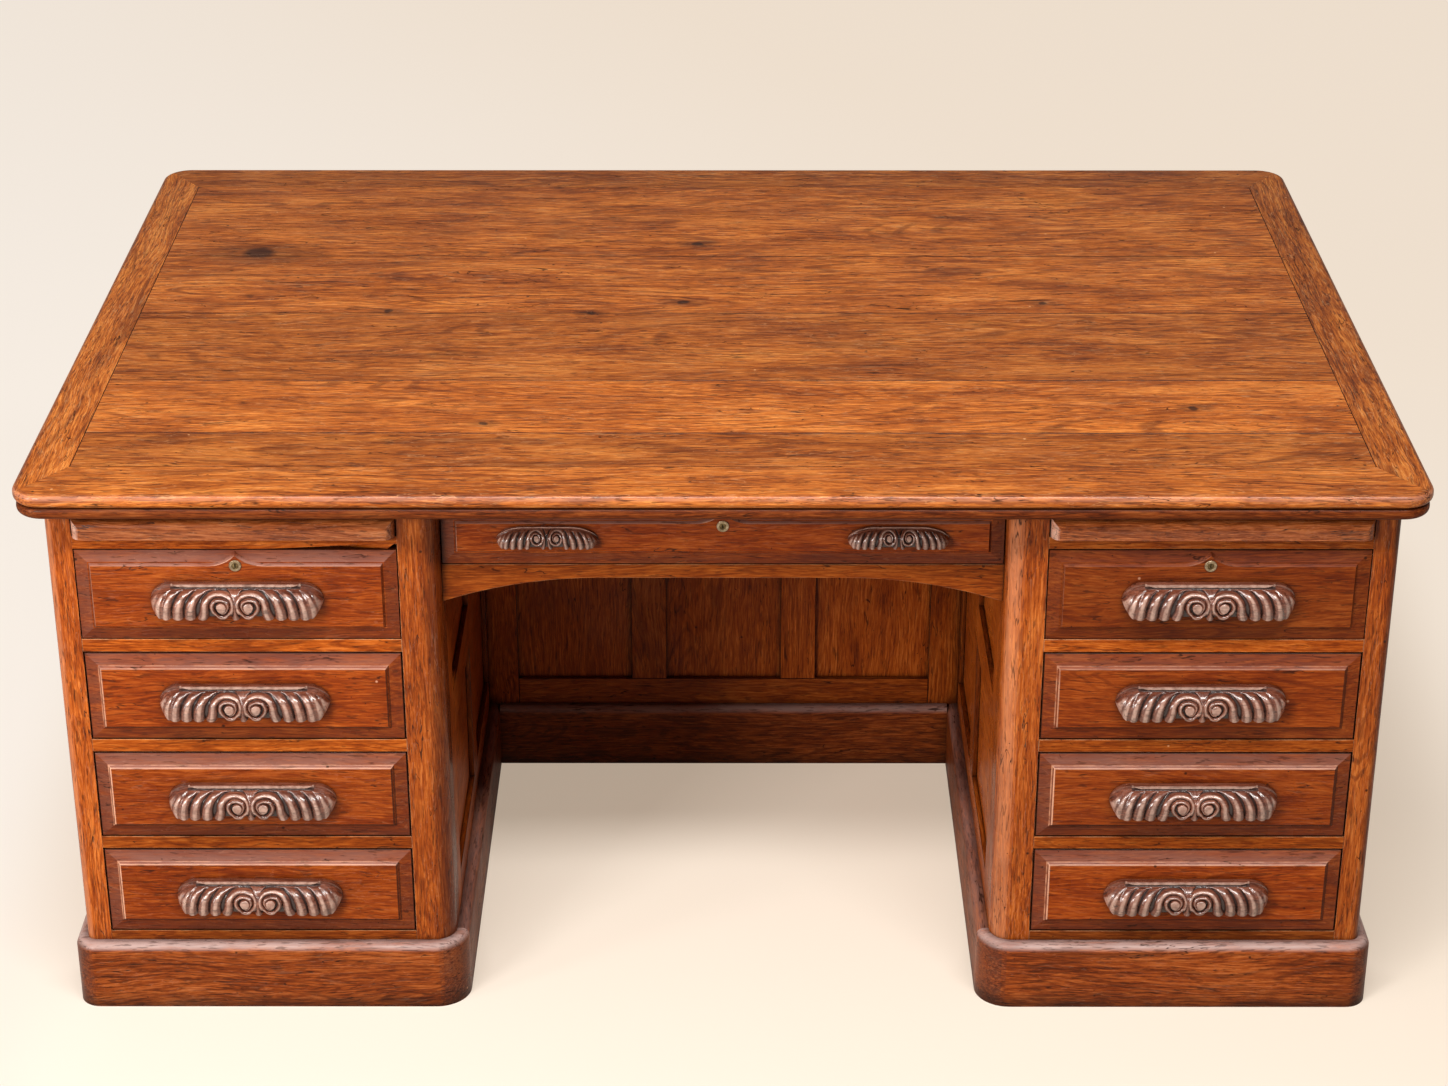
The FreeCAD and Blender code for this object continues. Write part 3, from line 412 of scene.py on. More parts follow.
def carved_wood():
    """The pulls' dark polished wood: pale crests, rubbed and painted as highlights, and painted shade, near
    black, in the grooves.
    """
    material = bpy.data.materials.new("pull_wood")
    graph = Graph(material)
    grain, place, crest = graph.level("grain", "Vector"), graph.place(), graph.level("carve")
    colour, bent, fibres = grain_colour(graph, grain, PULL_SHADES)
    patchy = graph.times(graph.band(graph.noise(place, *PULL_PATCHES), *PULL_PATCH_BAND), PULL_RUBBED_HIGHLIGHT_SHARE)
    # Pale crests, rubbed and painted as highlights
    colour = graph.mix(graph.times(graph.band(crest, *CREST_BAND), patchy), colour, PULL_RUBBED_HIGHLIGHT)
    # Painted shade in the grooves and under the pull
    colour = graph.mix(graph.band(crest, *GROOVE_SHADE_BAND), colour, PULL_GROOVE_SHADE)
    pores, _ = dashes(graph, bent, 0.0)
    colour = graph.mix(pores, colour, SOOT_AND_SHADE)
    gloss = graph.band(graph.noise(place, *PULL_SATIN), *PULL_SATIN_BAND)
    gloss = graph.math("ADD", gloss, graph.band(crest, *DULL_GROOVE_BAND))
    relief = graph.bump(graph.math("SUBTRACT", fibres, pores), *PULL_BUMP)
    graph.surface(Base_Color=colour, Roughness=gloss, Normal=relief)
    graph.polish(*PULL_SHINE)
    return material


# Brass

BRASS_CLOUDS, BRASS_SCRATCHES = ((260.0, 260.0, 260.0), 5.0, 0.65), ((900.0, 120.0, 900.0), 3.0, 0.7)
BRASS_STOPS = (0.30, 0.52, 0.72)
BRASS_HOLLOW_REACH, BRASS_HOLLOW_BAND = 0.003, (0.85, 0.3, 0.0, 0.9)
BRASS_GLOSS_BAND = (0.3, 0.7, 0.46, 0.28)
BRASS_BUMP = (0.12, 0.2 * MM)
BRASS_DIRT = tint(30, 20, 10)
BRASS_METAL_SHARE = 0.85


def aged_brass(name, shades):
    """Cloudy old brass in three shades from dull to bright, with dirt in its hollows and fine scratches."""
    material = bpy.data.materials.new(name)
    graph = Graph(material)
    place = graph.place()
    cloud = graph.noise(place, *BRASS_CLOUDS)
    colour = graph.ramp(cloud, BRASS_STOPS, [tint(*shade) for shade in shades])
    hollow = graph.band(graph.hollows(BRASS_HOLLOW_REACH, only_local=True), *BRASS_HOLLOW_BAND)
    colour = graph.mix(hollow, colour, BRASS_DIRT)
    scratches = graph.bump(graph.noise(place, *BRASS_SCRATCHES), *BRASS_BUMP)
    graph.surface(Base_Color=colour, Roughness=graph.band(cloud, *BRASS_GLOSS_BAND), Normal=scratches,
                  Metallic=BRASS_METAL_SHARE)
    return material


# Floor

FLOOR_GLOW_SHARES = (0.47, 0.84)
MIRRORED_FLOOR_SHARE = 0.4
SHADOW_REACH = 0.34
DESK_HALF, DESK_MIDDLE = (0.85, 0.72, 1.0), (0.08, 0.02, 0.0)
FLOOR_SLOPE, FLOOR_SLOPE_ENDS = (0.6, 0.35, 0.0), (-0.6, 1.9)
FLOOR_CLOUDS, FLOOR_CLOUD_SHARE = ((0.35, 0.35, 0.35), 2.0), 0.2
# The far colour paints a falloff of light to the right and back; the near one paints warm shade in the glow
# by the desk
FLOOR_PALE, FLOOR_FALLOFF = tint(255, 246, 236), tint(250, 234, 216)
FLOOR_THROWN, FLOOR_NEAR_SHADE = tint(140, 126, 112), tint(243, 222, 198)


def away_from_desk(graph, place):
    """How far a place on the floor lies outside the desk's own ground, from 0 to 1."""
    spread = graph.vector("ABSOLUTE", graph.vector("SUBTRACT", place, DESK_MIDDLE))
    beyond = graph.vector("MAXIMUM", graph.vector("SUBTRACT", spread, DESK_HALF))
    return graph.band(graph.vector("LENGTH", beyond, output="Value"), 0.0, SHADOW_REACH)


def floor_paleness(graph, place):
    """A pale floor with a painted falloff of light, a little darker and warmer towards the right and the
    back.
    """
    slope = graph.vector("DOT_PRODUCT", place, FLOOR_SLOPE, "Value")
    cloud = graph.times(graph.noise(place, *FLOOR_CLOUDS), FLOOR_CLOUD_SHARE)
    return graph.mix(graph.math("ADD", graph.band(slope, *FLOOR_SLOPE_ENDS), cloud), FLOOR_PALE, FLOOR_FALLOFF)


def pale_floor():
    """Pale and even to the eye and in reflections, with soft shadows and painted warm shade by the desk, and
    grey in what it throws back.
    """
    material = bpy.data.materials.new("pale_floor")
    graph = Graph(material)
    place = graph.place()
    pale, away = floor_paleness(graph, place), away_from_desk(graph, place)
    seen, mirrored = graph.rays()
    direct = graph.larger(seen, graph.times(mirrored, MIRRORED_FLOOR_SHARE))
    lit = graph.add("BsdfDiffuse", {"Color": graph.mix(direct, FLOOR_THROWN, pale)})
    glow = graph.add("Emission", {"Color": graph.mix(away, FLOOR_NEAR_SHADE, pale), "Strength": 1.0})
    share = graph.times(direct, graph.band(away, 0.0, 1.0, *FLOOR_GLOW_SHARES))
    even = graph.add("MixShader", {0: share, 1: lit, 2: glow})
    graph.put(graph.tree.nodes["Material Output"].inputs["Surface"], even)
    graph.tree.nodes.remove(graph.shader)
    return material


# Films of painted light and shade, and of dust, on some of the woods: a colour, then layers that are
# multiplied.
# A layer is the largest of its bands, from low to high, with what they give at both ends when not 0 and 1.

TO_PLUS, TO_MINUS = (0.08, 0.18), (-0.08, -0.18)
ON_BORDER = {"y": (-0.30, -0.60)}
FOOT_PATCHES = ((22.0, 22.0, 40.0), 4.0, 0.65)
PAINTED_LIGHT_AND_DUST = {
    # A darker mauve band at the turn from the flat top into its rim, and a painted highlight on the rim's
    # rounding
    "top_wood": [((104, 58, 42), {"z": (0.998, 0.96, 0.0, 0.62)}, {"z": (0.66, 0.86)}),
                 ((176, 124, 104), {"z": (0.86, 0.62, 0.0, 0.55)}, {"z": (-0.10, 0.20)})],
    # Painted highlight on the lit left side of the rounding and painted shade on its unlit right side
    "post_wood": [((220, 148, 106), {"x": (-0.12, -0.45, 0.0, 0.42)}, {"x": (-0.96, -0.80)}),
                  ((84, 32, 12), {"x": (0.10, 0.60, 0.0, 0.62)})],
    # Painted highlight on the left-facing end
    "lit_lip_wood": [((232, 188, 168), {"x": (-0.20, -0.60, 0.0, 0.75)})],
    # Dust and painted sheen on the moulding, painted grey-purple sheen on the rounded upright corners,
    # darker towards the foot in patches
    "plinth_wood": [((178, 150, 143), {"z": (0.10, 0.70, 0.0, 0.95)}),
                    ((78, 48, 40), {"corner": (0.05, 0.40, 0.0, 0.60)}),
                    ((46, 24, 16), {"height": (34.0 * MM, 2.0 * MM, 0.0, 0.85)},
                     {"patches": (0.3, 0.7, 0.25, 1.0)})],
    # Painted light: shaded borders with sheen on the upper and left ones, field edges lit left and top,
    # shaded right and bottom
    "front_wood": [((88, 40, 25), {"y": (-0.996, -0.986)}, {"rim": (0.15, 1.0, 0.48, 0.80)}, ON_BORDER),
                   ((166, 122, 110), {"z": TO_PLUS}, {"rim": (1.0, 0.1, 0.30, 0.85)}, ON_BORDER),
                   ((136, 92, 78), {"x": TO_MINUS}, {"rim": (1.0, 0.1, 0.20, 0.60)}, ON_BORDER),
                   ((226, 172, 144), {"x": TO_MINUS, "z": (*TO_PLUS, 0.0, 0.45)},
                    {"rim": (0.22, 0.08, 0.0, 0.85)}, ON_BORDER),
                   ((52, 20, 10), {"x": TO_PLUS, "z": TO_MINUS},
                    {"rim": (0.22, 0.08, 0.0, 0.60)}, ON_BORDER)],
}


def measure(graph, kind):
    """What a film's band reads: where a face looks or lies, or how far down a drawer's border it is."""
    if kind == "rim":
        return graph.level("rim")
    if kind == "height":
        return graph.add("SeparateXYZ", {0: graph.place()}, "Z")
    if kind == "patches":
        return graph.noise(graph.place(), *FOOT_PATCHES)
    if kind == "corner":
        return graph.math("ABSOLUTE", graph.times(measure(graph, "x"), measure(graph, "y")))
    normal = graph.add("NewGeometry", {}, "True Normal")
    return graph.add("SeparateXYZ", {0: normal}, kind.upper())


def film_cover(graph, layers):
    """Where a film lies, from 0 to 1."""
    covers = []
    for layer in layers:
        bands = [graph.band(measure(graph, kind), *band) for kind, band in layer.items()]
        covers.append(functools.reduce(graph.larger, bands))
    return functools.reduce(graph.times, covers)


# Woods: four shades from dark to light, the colour of worn places, and how the wood is worn

# Knots on the top: x, y and radius
TOP_KNOTS = ((-0.669, 0.235, 0.034), (-0.051, 0.041, 0.011), (-0.177, 0.000, 0.009), (-0.459, 0.007, 0.010),
             (-0.033, 0.273, 0.012), (0.450, 0.037, 0.009), (0.610, -0.330, 0.010), (-0.300, -0.380, 0.009))
WOODS = {
    "top_wood": dict(shades=((98, 40, 8), (156, 76, 20), (196, 106, 36), (232, 146, 68)),
        worn_and_lit=(236, 176, 122), roughness=0.36, density=0.03, dents=0.34, knots=TOP_KNOTS, glint=0.26,
        shine=(0.12, 0.20, 0.18), fine=1.0),
    "edge_wood": dict(shades=((76, 26, 6), (130, 54, 15), (164, 78, 27), (196, 108, 50)),
        worn_and_lit=(240, 190, 154), roughness=0.30, density=0.02, dents=0.40, shine=(0.10, 0.06, 0.16)),
    "carcase_wood": dict(shades=((108, 40, 6), (150, 65, 12), (180, 87, 23), (212, 118, 46)),
        worn_and_lit=(240, 176, 124), roughness=0.30, dents=0.32, corner_shade_strength=0.85, shine=(0.12, 0.03, 0.25)),
    "post_wood": dict(shades=((104, 38, 6), (148, 64, 13), (178, 86, 25), (210, 118, 50)),
        worn_and_lit=(244, 190, 150), roughness=0.26, density=0.015, dents=0.40, corner_shade_strength=0.85,
        shine=(0.16, 0.08, 0.20)),
    # Lighter shades than edge_wood: a painted lit copy for the slide lips, which sit in the top's shadow
    "lit_lip_wood": dict(shades=((98, 40, 14), (156, 76, 32), (192, 104, 52), (222, 136, 80)),
        worn_and_lit=(240, 190, 154), roughness=0.24, density=0.01, dents=0.30, shine=(0.24, 0.36, 0.16)),
    "plinth_wood": dict(shades=((74, 28, 8), (124, 52, 15), (158, 76, 27), (190, 106, 52)),
        worn_and_lit=(222, 170, 136), roughness=0.34, density=0.03, dents=0.36),
    "front_wood": dict(shades=((100, 32, 4), (132, 50, 7), (158, 69, 15), (188, 96, 36)),
        worn_and_lit=(232, 170, 134), roughness=0.27, dents=0.30, corner_shade_strength=0.85),
    "inner_wood": dict(shades=((124, 74, 40), (168, 112, 70), (196, 142, 98), (218, 170, 126)),
        worn_and_lit=(222, 190, 146), roughness=0.60, corner_shade_strength=0.4, dents=0.05),
}
BRASSES = {"lock_brass": ((112, 94, 70), (168, 148, 118), (214, 200, 174)),
           "plug_brass": ((58, 44, 26), (104, 86, 56), (150, 132, 94))}
MATERIALS = {name: wood(name, **settings) for name, settings in WOODS.items()}
MATERIALS["pull_wood"] = carved_wood()
MATERIALS.update({name: aged_brass(name, shades) for name, shades in BRASSES.items()})

# Nodes whose look is not the one of their slot
FINISH = {"top_edge_moulding": "edge_wood", "centre_lock_plug": "plug_brass"}
for side in ("left", "right"):
    FINISH.update({side + "_slide_lip": "lit_lip_wood", side + "_slide_board": "carcase_wood",
                   side + "_posts": "post_wood", side + "_lock_plug": "plug_brass"})


# Dressing of the plain boards: the same solids with rubbed edges, painted light and shade on some, and a
# grain direction on each board

BEVEL = {"top_wood": 0.7 * MM, "carcase_wood": 0.9 * MM, "plinth_wood": 1.2 * MM, "front_wood": 1.3 * MM,
         "inner_wood": 0.5 * MM}
JOINT_BEVEL = 1.4 * MM
BEVEL_STEPS = 4
ROUND_PROFILE = 0.5
SHARP_TURN = math.radians(28.0)
FLAT_TURN = math.radians(0.5)
CREASE_TURN = math.radians(3.0)
WELD_DIGITS = 6
FLAT_FACE_WEIGHT = 80


def face_labels(mesh):
    """One label for each polygon: polygons of one smooth face of a solid share their vertices."""
    parent = list(range(len(mesh.vertices)))

    def root(v):
        while parent[v] != v:
            parent[v] = parent[parent[v]]
            v = parent[v]
        return v

    for face in mesh.polygons:
        first = root(face.vertices[0])
        for v in face.vertices[1:]:
            parent[root(v)] = first
    return [root(face.vertices[0]) for face in mesh.polygons]


def closed_solids(mesh):
    """The triangles of each closed solid in a mesh, as corner points, and the label of each triangle."""
    open_edges, triangles, labels = set(), [], []
    for face, label in zip(mesh.polygons, face_labels(mesh)):
        points = [tuple(round(c, WELD_DIGITS) for c in mesh.vertices[v].co) for v in face.vertices]
        triangles.append(points)
        labels.append(label)
        for a, b in zip(points, points[1:] + points[:1]):
            open_edges ^= {frozenset((a, b))}
        if not open_edges:
            yield triangles, labels
            triangles, labels = [], []


def corners(triangles):
    """Lowest and highest corner of the box round a solid."""
    points = np.concatenate(triangles)
    return Vector(points.min(axis=0)), Vector(points.max(axis=0))


def board_mesh(triangles, labels, width, chipped):
    """One solid as a welded mesh with rounded edges, and the vertices that lie along those edges."""
    bm = bmesh.new()
    corner = {}
    label_layer = bm.faces.layers.int.new("label")
    for points, label in zip(triangles, labels):
        for p in points:
            if p not in corner:
                corner[p] = bm.verts.new(p)
        if len(set(points)) == len(points):
            bm.faces.new([corner[p] for p in points])[label_layer] = label
    bmesh.ops.dissolve_limit(bm, angle_limit=FLAT_TURN, verts=bm.verts, edges=bm.edges)
    if chipped:
        chip_edge(bm)
    for edge in bm.edges:
        sides = {face[label_layer] for face in edge.link_faces}
        edge.smooth = len(sides) < 2 or edge.calc_face_angle(0.0) < CREASE_TURN
    sharp = [edge for edge in bm.edges if edge.calc_face_angle(0.0) > SHARP_TURN]
    for edge in sharp:
        edge.smooth = True
    made = bmesh.ops.bevel(bm, geom=sharp, offset=width, offset_type="OFFSET", segments=BEVEL_STEPS,
                           profile=ROUND_PROFILE, affect="EDGES", clamp_overlap=True)
    rounded = set(made["faces"])
    bevel_verts = {v for v in bm.verts if v.link_faces and all(f in rounded for f in v.link_faces)}
    return bm, bevel_verts


CHIP_MIDDLE, CHIP_HALF, CHIP_HEIGHT = -0.476, 0.088, 0.0075
CHIP_STEPS = 21
CHIP_PEAK_SHARE = 0.78
CHIP_FALL_POWER = 0.5
EDGE_NEAR = 1.0 * MM
RAIL_NEAR = 3.0 * MM


def chip_edge(bm):
    """A long shallow piece broken out of a rail's lower front edge."""
    for share in np.linspace(-1.0, 1.0, CHIP_STEPS):
        everything = bm.verts[:] + bm.edges[:] + bm.faces[:]
        bmesh.ops.bisect_plane(bm, geom=everything, plane_co=(CHIP_MIDDLE + CHIP_HALF * share, 0, 0),
                               plane_no=(1, 0, 0))
    low, front = min(v.co.z for v in bm.verts), min(v.co.y for v in bm.verts)
    for vert in bm.verts:
        share = (vert.co.x - CHIP_MIDDLE) / CHIP_HALF
        if abs(share) < 1.0 and vert.co.z < low + EDGE_NEAR and vert.co.y < front + EDGE_NEAR:
            rise = (1.0 + share) / (1.0 + CHIP_PEAK_SHARE)
            fall = (1.0 - share) / (1.0 - CHIP_PEAK_SHARE)
            vert.co.z += CHIP_HEIGHT * min(rise, fall ** CHIP_FALL_POWER)


def is_chipped(name, low):
    """The rail under the left writing slide is the one with the broken edge."""
    return name == "left_drawer_rails" and abs(low.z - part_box("left_drawer_1_front")[1][2]) < RAIL_NEAR


KNEEHOLE_HALF, KNEEHOLE_TOP = 0.43, 0.64
# Levels of painted shade: round the kneehole, darker towards the bottom on the rails, apron, moulding, some
# fronts
KNEEHOLE_SHADE, RIGHT_WALL_SHADE, LOW_RAIL_SHADE, INNER_PLINTH_SHADE = 0.12, 0.0, 0.50, 0.26
APRON_SHADE, MOULDING_SHADE = 0.42, 0.46
FRONT_SHADES = {"left_drawer_1_front": 0.04, "left_drawer_2_front": 0.14, "right_drawer_1_front": 0.36,
                "right_drawer_2_front": 0.26, "right_drawer_3_front": 0.06, "right_drawer_4_front": 0.08,
                "centre_drawer_front": 0.06}
EDGE_REACH = 2.5 * MM
BORDER_DEPTH = 6.5 * MM
# Painted light and shade on a drawer front's edges: highlight at left and top, shadow at right and bottom
FIELD_LIGHT_AND_SHADE = {"left": 1.0, "over": 0.55, "right": -0.55, "under": -0.35}
GRAIN_LENGTH = 9
WOODS_SHADED = ("carcase_wood", "plinth_wood")
JOINED_BOARDS = ("top_field_boards", "top_border_boards")
# Nodes whose rounded edges get painted shade, for the shadow lines round panels
SHADED_EDGE_NODES = ("_panels", "_frame", "_frames")


def board_shade(name, middle):
    """How much painted shade a board gets: round the kneehole, low rails, apron, moulding, some fronts."""
    if "drawer_rails" in name and middle.z < KNEEHOLE_TOP:
        return LOW_RAIL_SHADE * (1.0 - middle.z / KNEEHOLE_TOP)
    if name in FRONT_SHADES:
        return FRONT_SHADES[name]
    if "apron" in name:
        return APRON_SHADE
    if name == "top_edge_moulding":
        return MOULDING_SHADE
    inside = abs(middle.x) < KNEEHOLE_HALF and middle.z < KNEEHOLE_TOP
    if not inside or slot_of[name] not in WOODS_SHADED or "posts" in name:
        return 0.0
    if name in ("left_plinth", "right_plinth"):
        return INNER_PLINTH_SHADE
    return RIGHT_WALL_SHADE if name.startswith("right") else KNEEHOLE_SHADE


def edge_wear_and_shade(name, place, low, high):
    """Edges are rubbed pale, dark in the top's joints, painted with shade on panels and frames, painted
    light on fronts.
    """
    if name in JOINED_BOARDS or name.endswith(SHADED_EDGE_NODES):
        return -1.0
    return front_edge_light_and_shade(place, low, high) if name.endswith("_front") else 1.0


def front_edge_light_and_shade(place, low, high):
    """Painted shade beside a front's side and lower gaps, and its other edges painted lit at left and top,
    shaded at right and bottom.
    """
    left, right, under, over = place.x - low.x, high.x - place.x, place.z - low.z, high.z - place.z
    if min(left, right, under) < EDGE_REACH:
        return -1.0
    return FIELD_LIGHT_AND_SHADE[min((left, "left"), (right, "right"), (under, "under"), (over, "over"))[1]]


def rim_share(name, place, low):
    """How far down a drawer front's sloped border a place lies: 0 at the field and 1 at the rim."""
    return min(1.0, (place.y - low.y) / BORDER_DEPTH) if name.endswith("_front") else 0.0


def dress(name):
    """Replaces a plain node by a copy of its boards with rounded edges and grain."""
    points, faces, creases, grain = [], [], set(), []
    levels = {"tone": [], "wear_and_shading": [], "shade": [], "rim": []}
    width = JOINT_BEVEL if name in JOINED_BOARDS else BEVEL[slot_of[name]]
    for triangles, labels in closed_solids(nodes[name].data):
        low, high = corners(triangles)
        bm, bevel_verts = board_mesh(triangles, labels, width, is_chipped(name, low))
        bm.verts.index_update()
        places = np.array([v.co for v in bm.verts])
        order = np.argsort(-np.ptp(places, axis=0), kind="stable")
        start = grain_start()
        first = len(points)
        points += places.tolist()
        faces += [[first + v.index for v in f.verts] for f in bm.faces]
        creases |= {tuple(sorted(first + v.index for v in e.verts)) for e in bm.edges if not e.smooth}
        grain += [tuple(p[order] + start) for p in places]
        levels["tone"] += [chance.random()] * len(places)
        levels["shade"] += [board_shade(name, (low + high) / 2)] * len(places)
        levels["wear_and_shading"] += [edge_wear_and_shade(name, v.co, low, high) if v in bevel_verts else 0.0 for v in bm.verts]
        levels["rim"] += [rim_share(name, v.co, low) for v in bm.verts]
        bm.free()
    piece = new_piece(name + "_dressed", points, faces, FINISH.get(name, slot_of[name]))
    add_attributes(piece.data, grain, **levels)
    mark_creases(piece.data, creases)
    smooth = piece.modifiers.new("face_normals", "WEIGHTED_NORMAL")
    smooth.weight = FLAT_FACE_WEIGHT
    smooth.keep_sharp = True
    seat(piece, name)


def grain_start():
    """Where a board's grain starts, so that no two boards look alike."""
    return np.array([chance.uniform(0, GRAIN_LENGTH) for _ in range(3)])


def new_piece(name, points, faces, slot):
    mesh = bpy.data.meshes.new(name)
    mesh.from_pydata(points, [], faces, shade_flat=False)
    mesh.materials.append(MATERIALS[slot])
    piece = bpy.data.objects.new(name, mesh)
    bpy.context.scene.collection.objects.link(piece)
    return piece


def mark_creases(mesh, creases):
    """Keeps the edges between two flat faces crisp where they are too blunt to round over."""
    flags = [tuple(sorted(edge.vertices)) in creases for edge in mesh.edges]
    mesh.attributes.new("sharp_edge", "BOOLEAN", "EDGE").data.foreach_set("value", flags)


def add_attributes(mesh, grain, **levels):
    mesh.attributes.new("grain", "FLOAT_VECTOR", "POINT").data.foreach_set("vector", np.ravel(grain))
    for name, values in levels.items():
        mesh.attributes.new(name, "FLOAT", "POINT").data.foreach_set("value", np.ravel(values))


def seat(piece, node):
    """The piece stands for a node and moves with the node's body."""
    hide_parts(node)
    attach(piece, body_of[node])


# Carved pulls: a bulging bar with a top fillet, two volutes under scrolls and ribs that sweep out from them

FRONT_ROWS, FILLET_ROWS = 78, 6
MIDDLE_COLUMNS, END_COLUMNS = 250, 34
LOOK_DOWN = math.radians(26.0)
PULL_CREASE_TURN = math.radians(55.0)
PULL_WELD = 0.002 * MM
LOW_CORNER_POWER = 1.6

# Shares of a pull's width
CORNER_SHARE, BEND_SHARE = 0.065, 0.12
HOLLOW_SHARES = (0.30, 0.335)
POINT_EASE_SHARE = 0.05

# Shares of the way down a pull's front
FILLET_SHARE, COVE_SHARE, FILLET_LINE_SHARE, LEAST_FILLET_SHARE = 0.075, 0.085, 0.025, 0.01
BULGE_SHARE = 0.58
SHOULDER_FALL_SHARES, TOP_EDGE_SHARES = (0.05, 0.26), (0.02, 0.09)
SCALLOP_SHARE = 0.08

# Shares of a pull's projection
TOP_OUT_SHARE, BODY_OUT_SHARE, CHIN_SHARE, DEPTH_SHARE = 0.36, 0.26, 0.90, 0.20

# Shares of the flat bar, and of the turn of the ends
SHOULDER_SHARES, END_EASE_SHARE = (0.92, 1.08), 0.25

# Levels of the carving, 0 in the grooves and 1 on the crests; low levels paint shade, as under the fillet
# and the pull
SHOULDER_LEVEL, FILLET_SHADOW_LEVEL, BACK_LEVEL, UNDERSIDE_SHADE_LEVEL = 0.82, 0.1, 0.6, 0.25

# Under the pull, from the lip back to the drawer: out, up, and into the finger hollow
UNDERSIDE_SHARES = ((0.84, 0.0, 0.0), (0.66, 0.01, 0.0), (0.60, 0.04, 0.0), (0.58, 0.04, 0.55),
                    (0.50, 0.04, 0.80), (0.36, 0.04, 0.97), (0.18, 0.04, 1.0), (0.0, 0.04, 1.0))


def soft_step(low, high, value):
    """Climbs softly from 0 at low to 1 at high."""
    share = np.clip((value - low) / (high - low), 0.0, 1.0)
    return share * share * (3.0 - 2.0 * share)


def between(ends, share):
    """The way from one end to the other."""
    return ends[0] + (ends[1] - ends[0]) * share


RIDGE_POWER = 0.55


def ridge(places, x, down, half_width, height):
    """Height of a rounded ridge along a curve, at each place. Width and height may vary along it."""
    gap = (places[:, :1] - x) ** 2 + (places[:, 1:] - down) ** 2
    near = np.clip(1.0 - gap / half_width ** 2, 0.0, 1.0)
    return (near ** RIDGE_POWER * height).max(axis=1)


RIB_STEPS = 70
RIB_TAPER_SHARE, RIB_FADE_SHARE, RIB_FADE_POWER = 0.34, 0.35, 6


def ribs(style, width, places, top, bottom):
    """Ribs that leave the lower edge upright and lean in towards the middle as they climb."""
    climb = np.linspace(0.0, 1.0, RIB_STEPS)
    height = np.zeros(len(places))
    for foot_share, lean_share in zip(style["feet_shares"], style["lean_shares"]):
        x = width * (foot_share - lean_share * (1.0 - np.sqrt(1.0 - climb ** 2)))
        down = between((bottom, top), climb)
        half_width = width * style["rib_share"] * (1.0 - RIB_TAPER_SHARE * climb)
        fade = 1.0 - RIB_FADE_SHARE * climb ** RIB_FADE_POWER
        height = np.maximum(height, ridge(places, x, down, half_width, fade))
    return height


QUARTER_TURN = 90.0
SPIRAL_TURNS = [QUARTER_TURN * k for k in range(8)]
SPIRAL_STEPS, LEG_STEPS = 260, 30
SPIRAL_FADE_SHARE, LEG_SPREAD_SHARE = 0.08, 0.25
BUTTON_LEVEL, BUTTON_FLAT_SHARE = 0.97, 0.84


def volute(style, width, places, eye, length):
    """A ridge that climbs from the lower edge beside an eye, wraps over it and winds in to a button."""
    turn = np.linspace(0.0, SPIRAL_TURNS[-1], SPIRAL_STEPS)
    reach = width * np.interp(turn, SPIRAL_TURNS, style["spiral_shares"])
    x = eye[0] + reach * np.cos(np.radians(turn))
    down = eye[1] - reach * np.sin(np.radians(turn)) * style["upright"]
    thick = width * np.interp(turn, SPIRAL_TURNS, style["thick_shares"])
    ring = ridge(places, x, down, thick, 1.0 - SPIRAL_FADE_SHARE * turn / turn[-1])
    drop = np.linspace(0.0, 1.0, LEG_STEPS)
    foot = x[0] + width * style["flare_share"] * drop ** 2
    spread = thick[0] * (1.0 + LEG_SPREAD_SHARE * drop)
    leg = ridge(places, foot, between((eye[1], length), drop), spread, 1.0)
    off = (places - eye) / (1.0, style["upright"])
    far = np.hypot(*off.T) / (width * style["button_share"])
    button = BUTTON_LEVEL * (1.0 - soft_step(BUTTON_FLAT_SHARE, 1.0, far))
    return np.max([ring, leg, button], axis=0)


LEAF_STEPS = 50
FAN_FOOT_SHARE, FAN_GAP_SHARE, FAN_POWER = 0.36, 0.002, 1.4
FAN_THICK_SHARES, FAN_LEVELS = (0.0105, 0.0065), (0.85, 0.70)
STEM_HEAD_POWER, STEM_FOOT_POWER, STEM_FLARE_POWER = 2.5, 4, 3
STEM_FLARE_SHARE, STEM_LEVELS = 0.014, (0.85, 0.95)


def middle_leaf(style, width, places, top, eye, length):
    """A small fan over the volutes, and stems between them that flare at the foot."""
    line = np.linspace(0.0, 1.0, LEAF_STEPS)
    height = np.zeros(len(places))
    low = eye[1] - (eye[1] - top) * FAN_FOOT_SHARE
    for spread_share in style["fan_shares"]:
        x = width * (FAN_GAP_SHARE + spread_share * (1.0 - line) ** FAN_POWER)
        thick = width * between(FAN_THICK_SHARES, line)
        fan = ridge(places, x, between((top, low), line), thick, between(FAN_LEVELS, line))
        height = np.maximum(height, fan)
    head_share, waist_share, foot_share = style["stem_shares"]
    start = top if head_share else low
    x = width * (waist_share + (head_share - waist_share) * (1.0 - line) ** STEM_HEAD_POWER
                 + (foot_share - waist_share) * line ** STEM_FOOT_POWER)
    thick = width * (style["stem_thick_share"] + STEM_FLARE_SHARE * line ** STEM_FLARE_POWER)
    stem = ridge(places, x, between((start, length), line), thick, between(STEM_LEVELS, line))
    return np.maximum(height, stem)


def carved_height(style, width, x, down, length):
    """The carving's height at each place of the front, 0 in the grooves and 1 on the crests."""
    places = np.stack([np.abs(x), down], axis=1)
    top = length * style["top_share"]
    eye = np.multiply((width, length), style["eye_shares"])
    layers = [ribs(style, width, places, top, length), volute(style, width, places, eye, length),
              middle_leaf(style, width, places, top, eye, length)]
    return np.max(layers, axis=0)


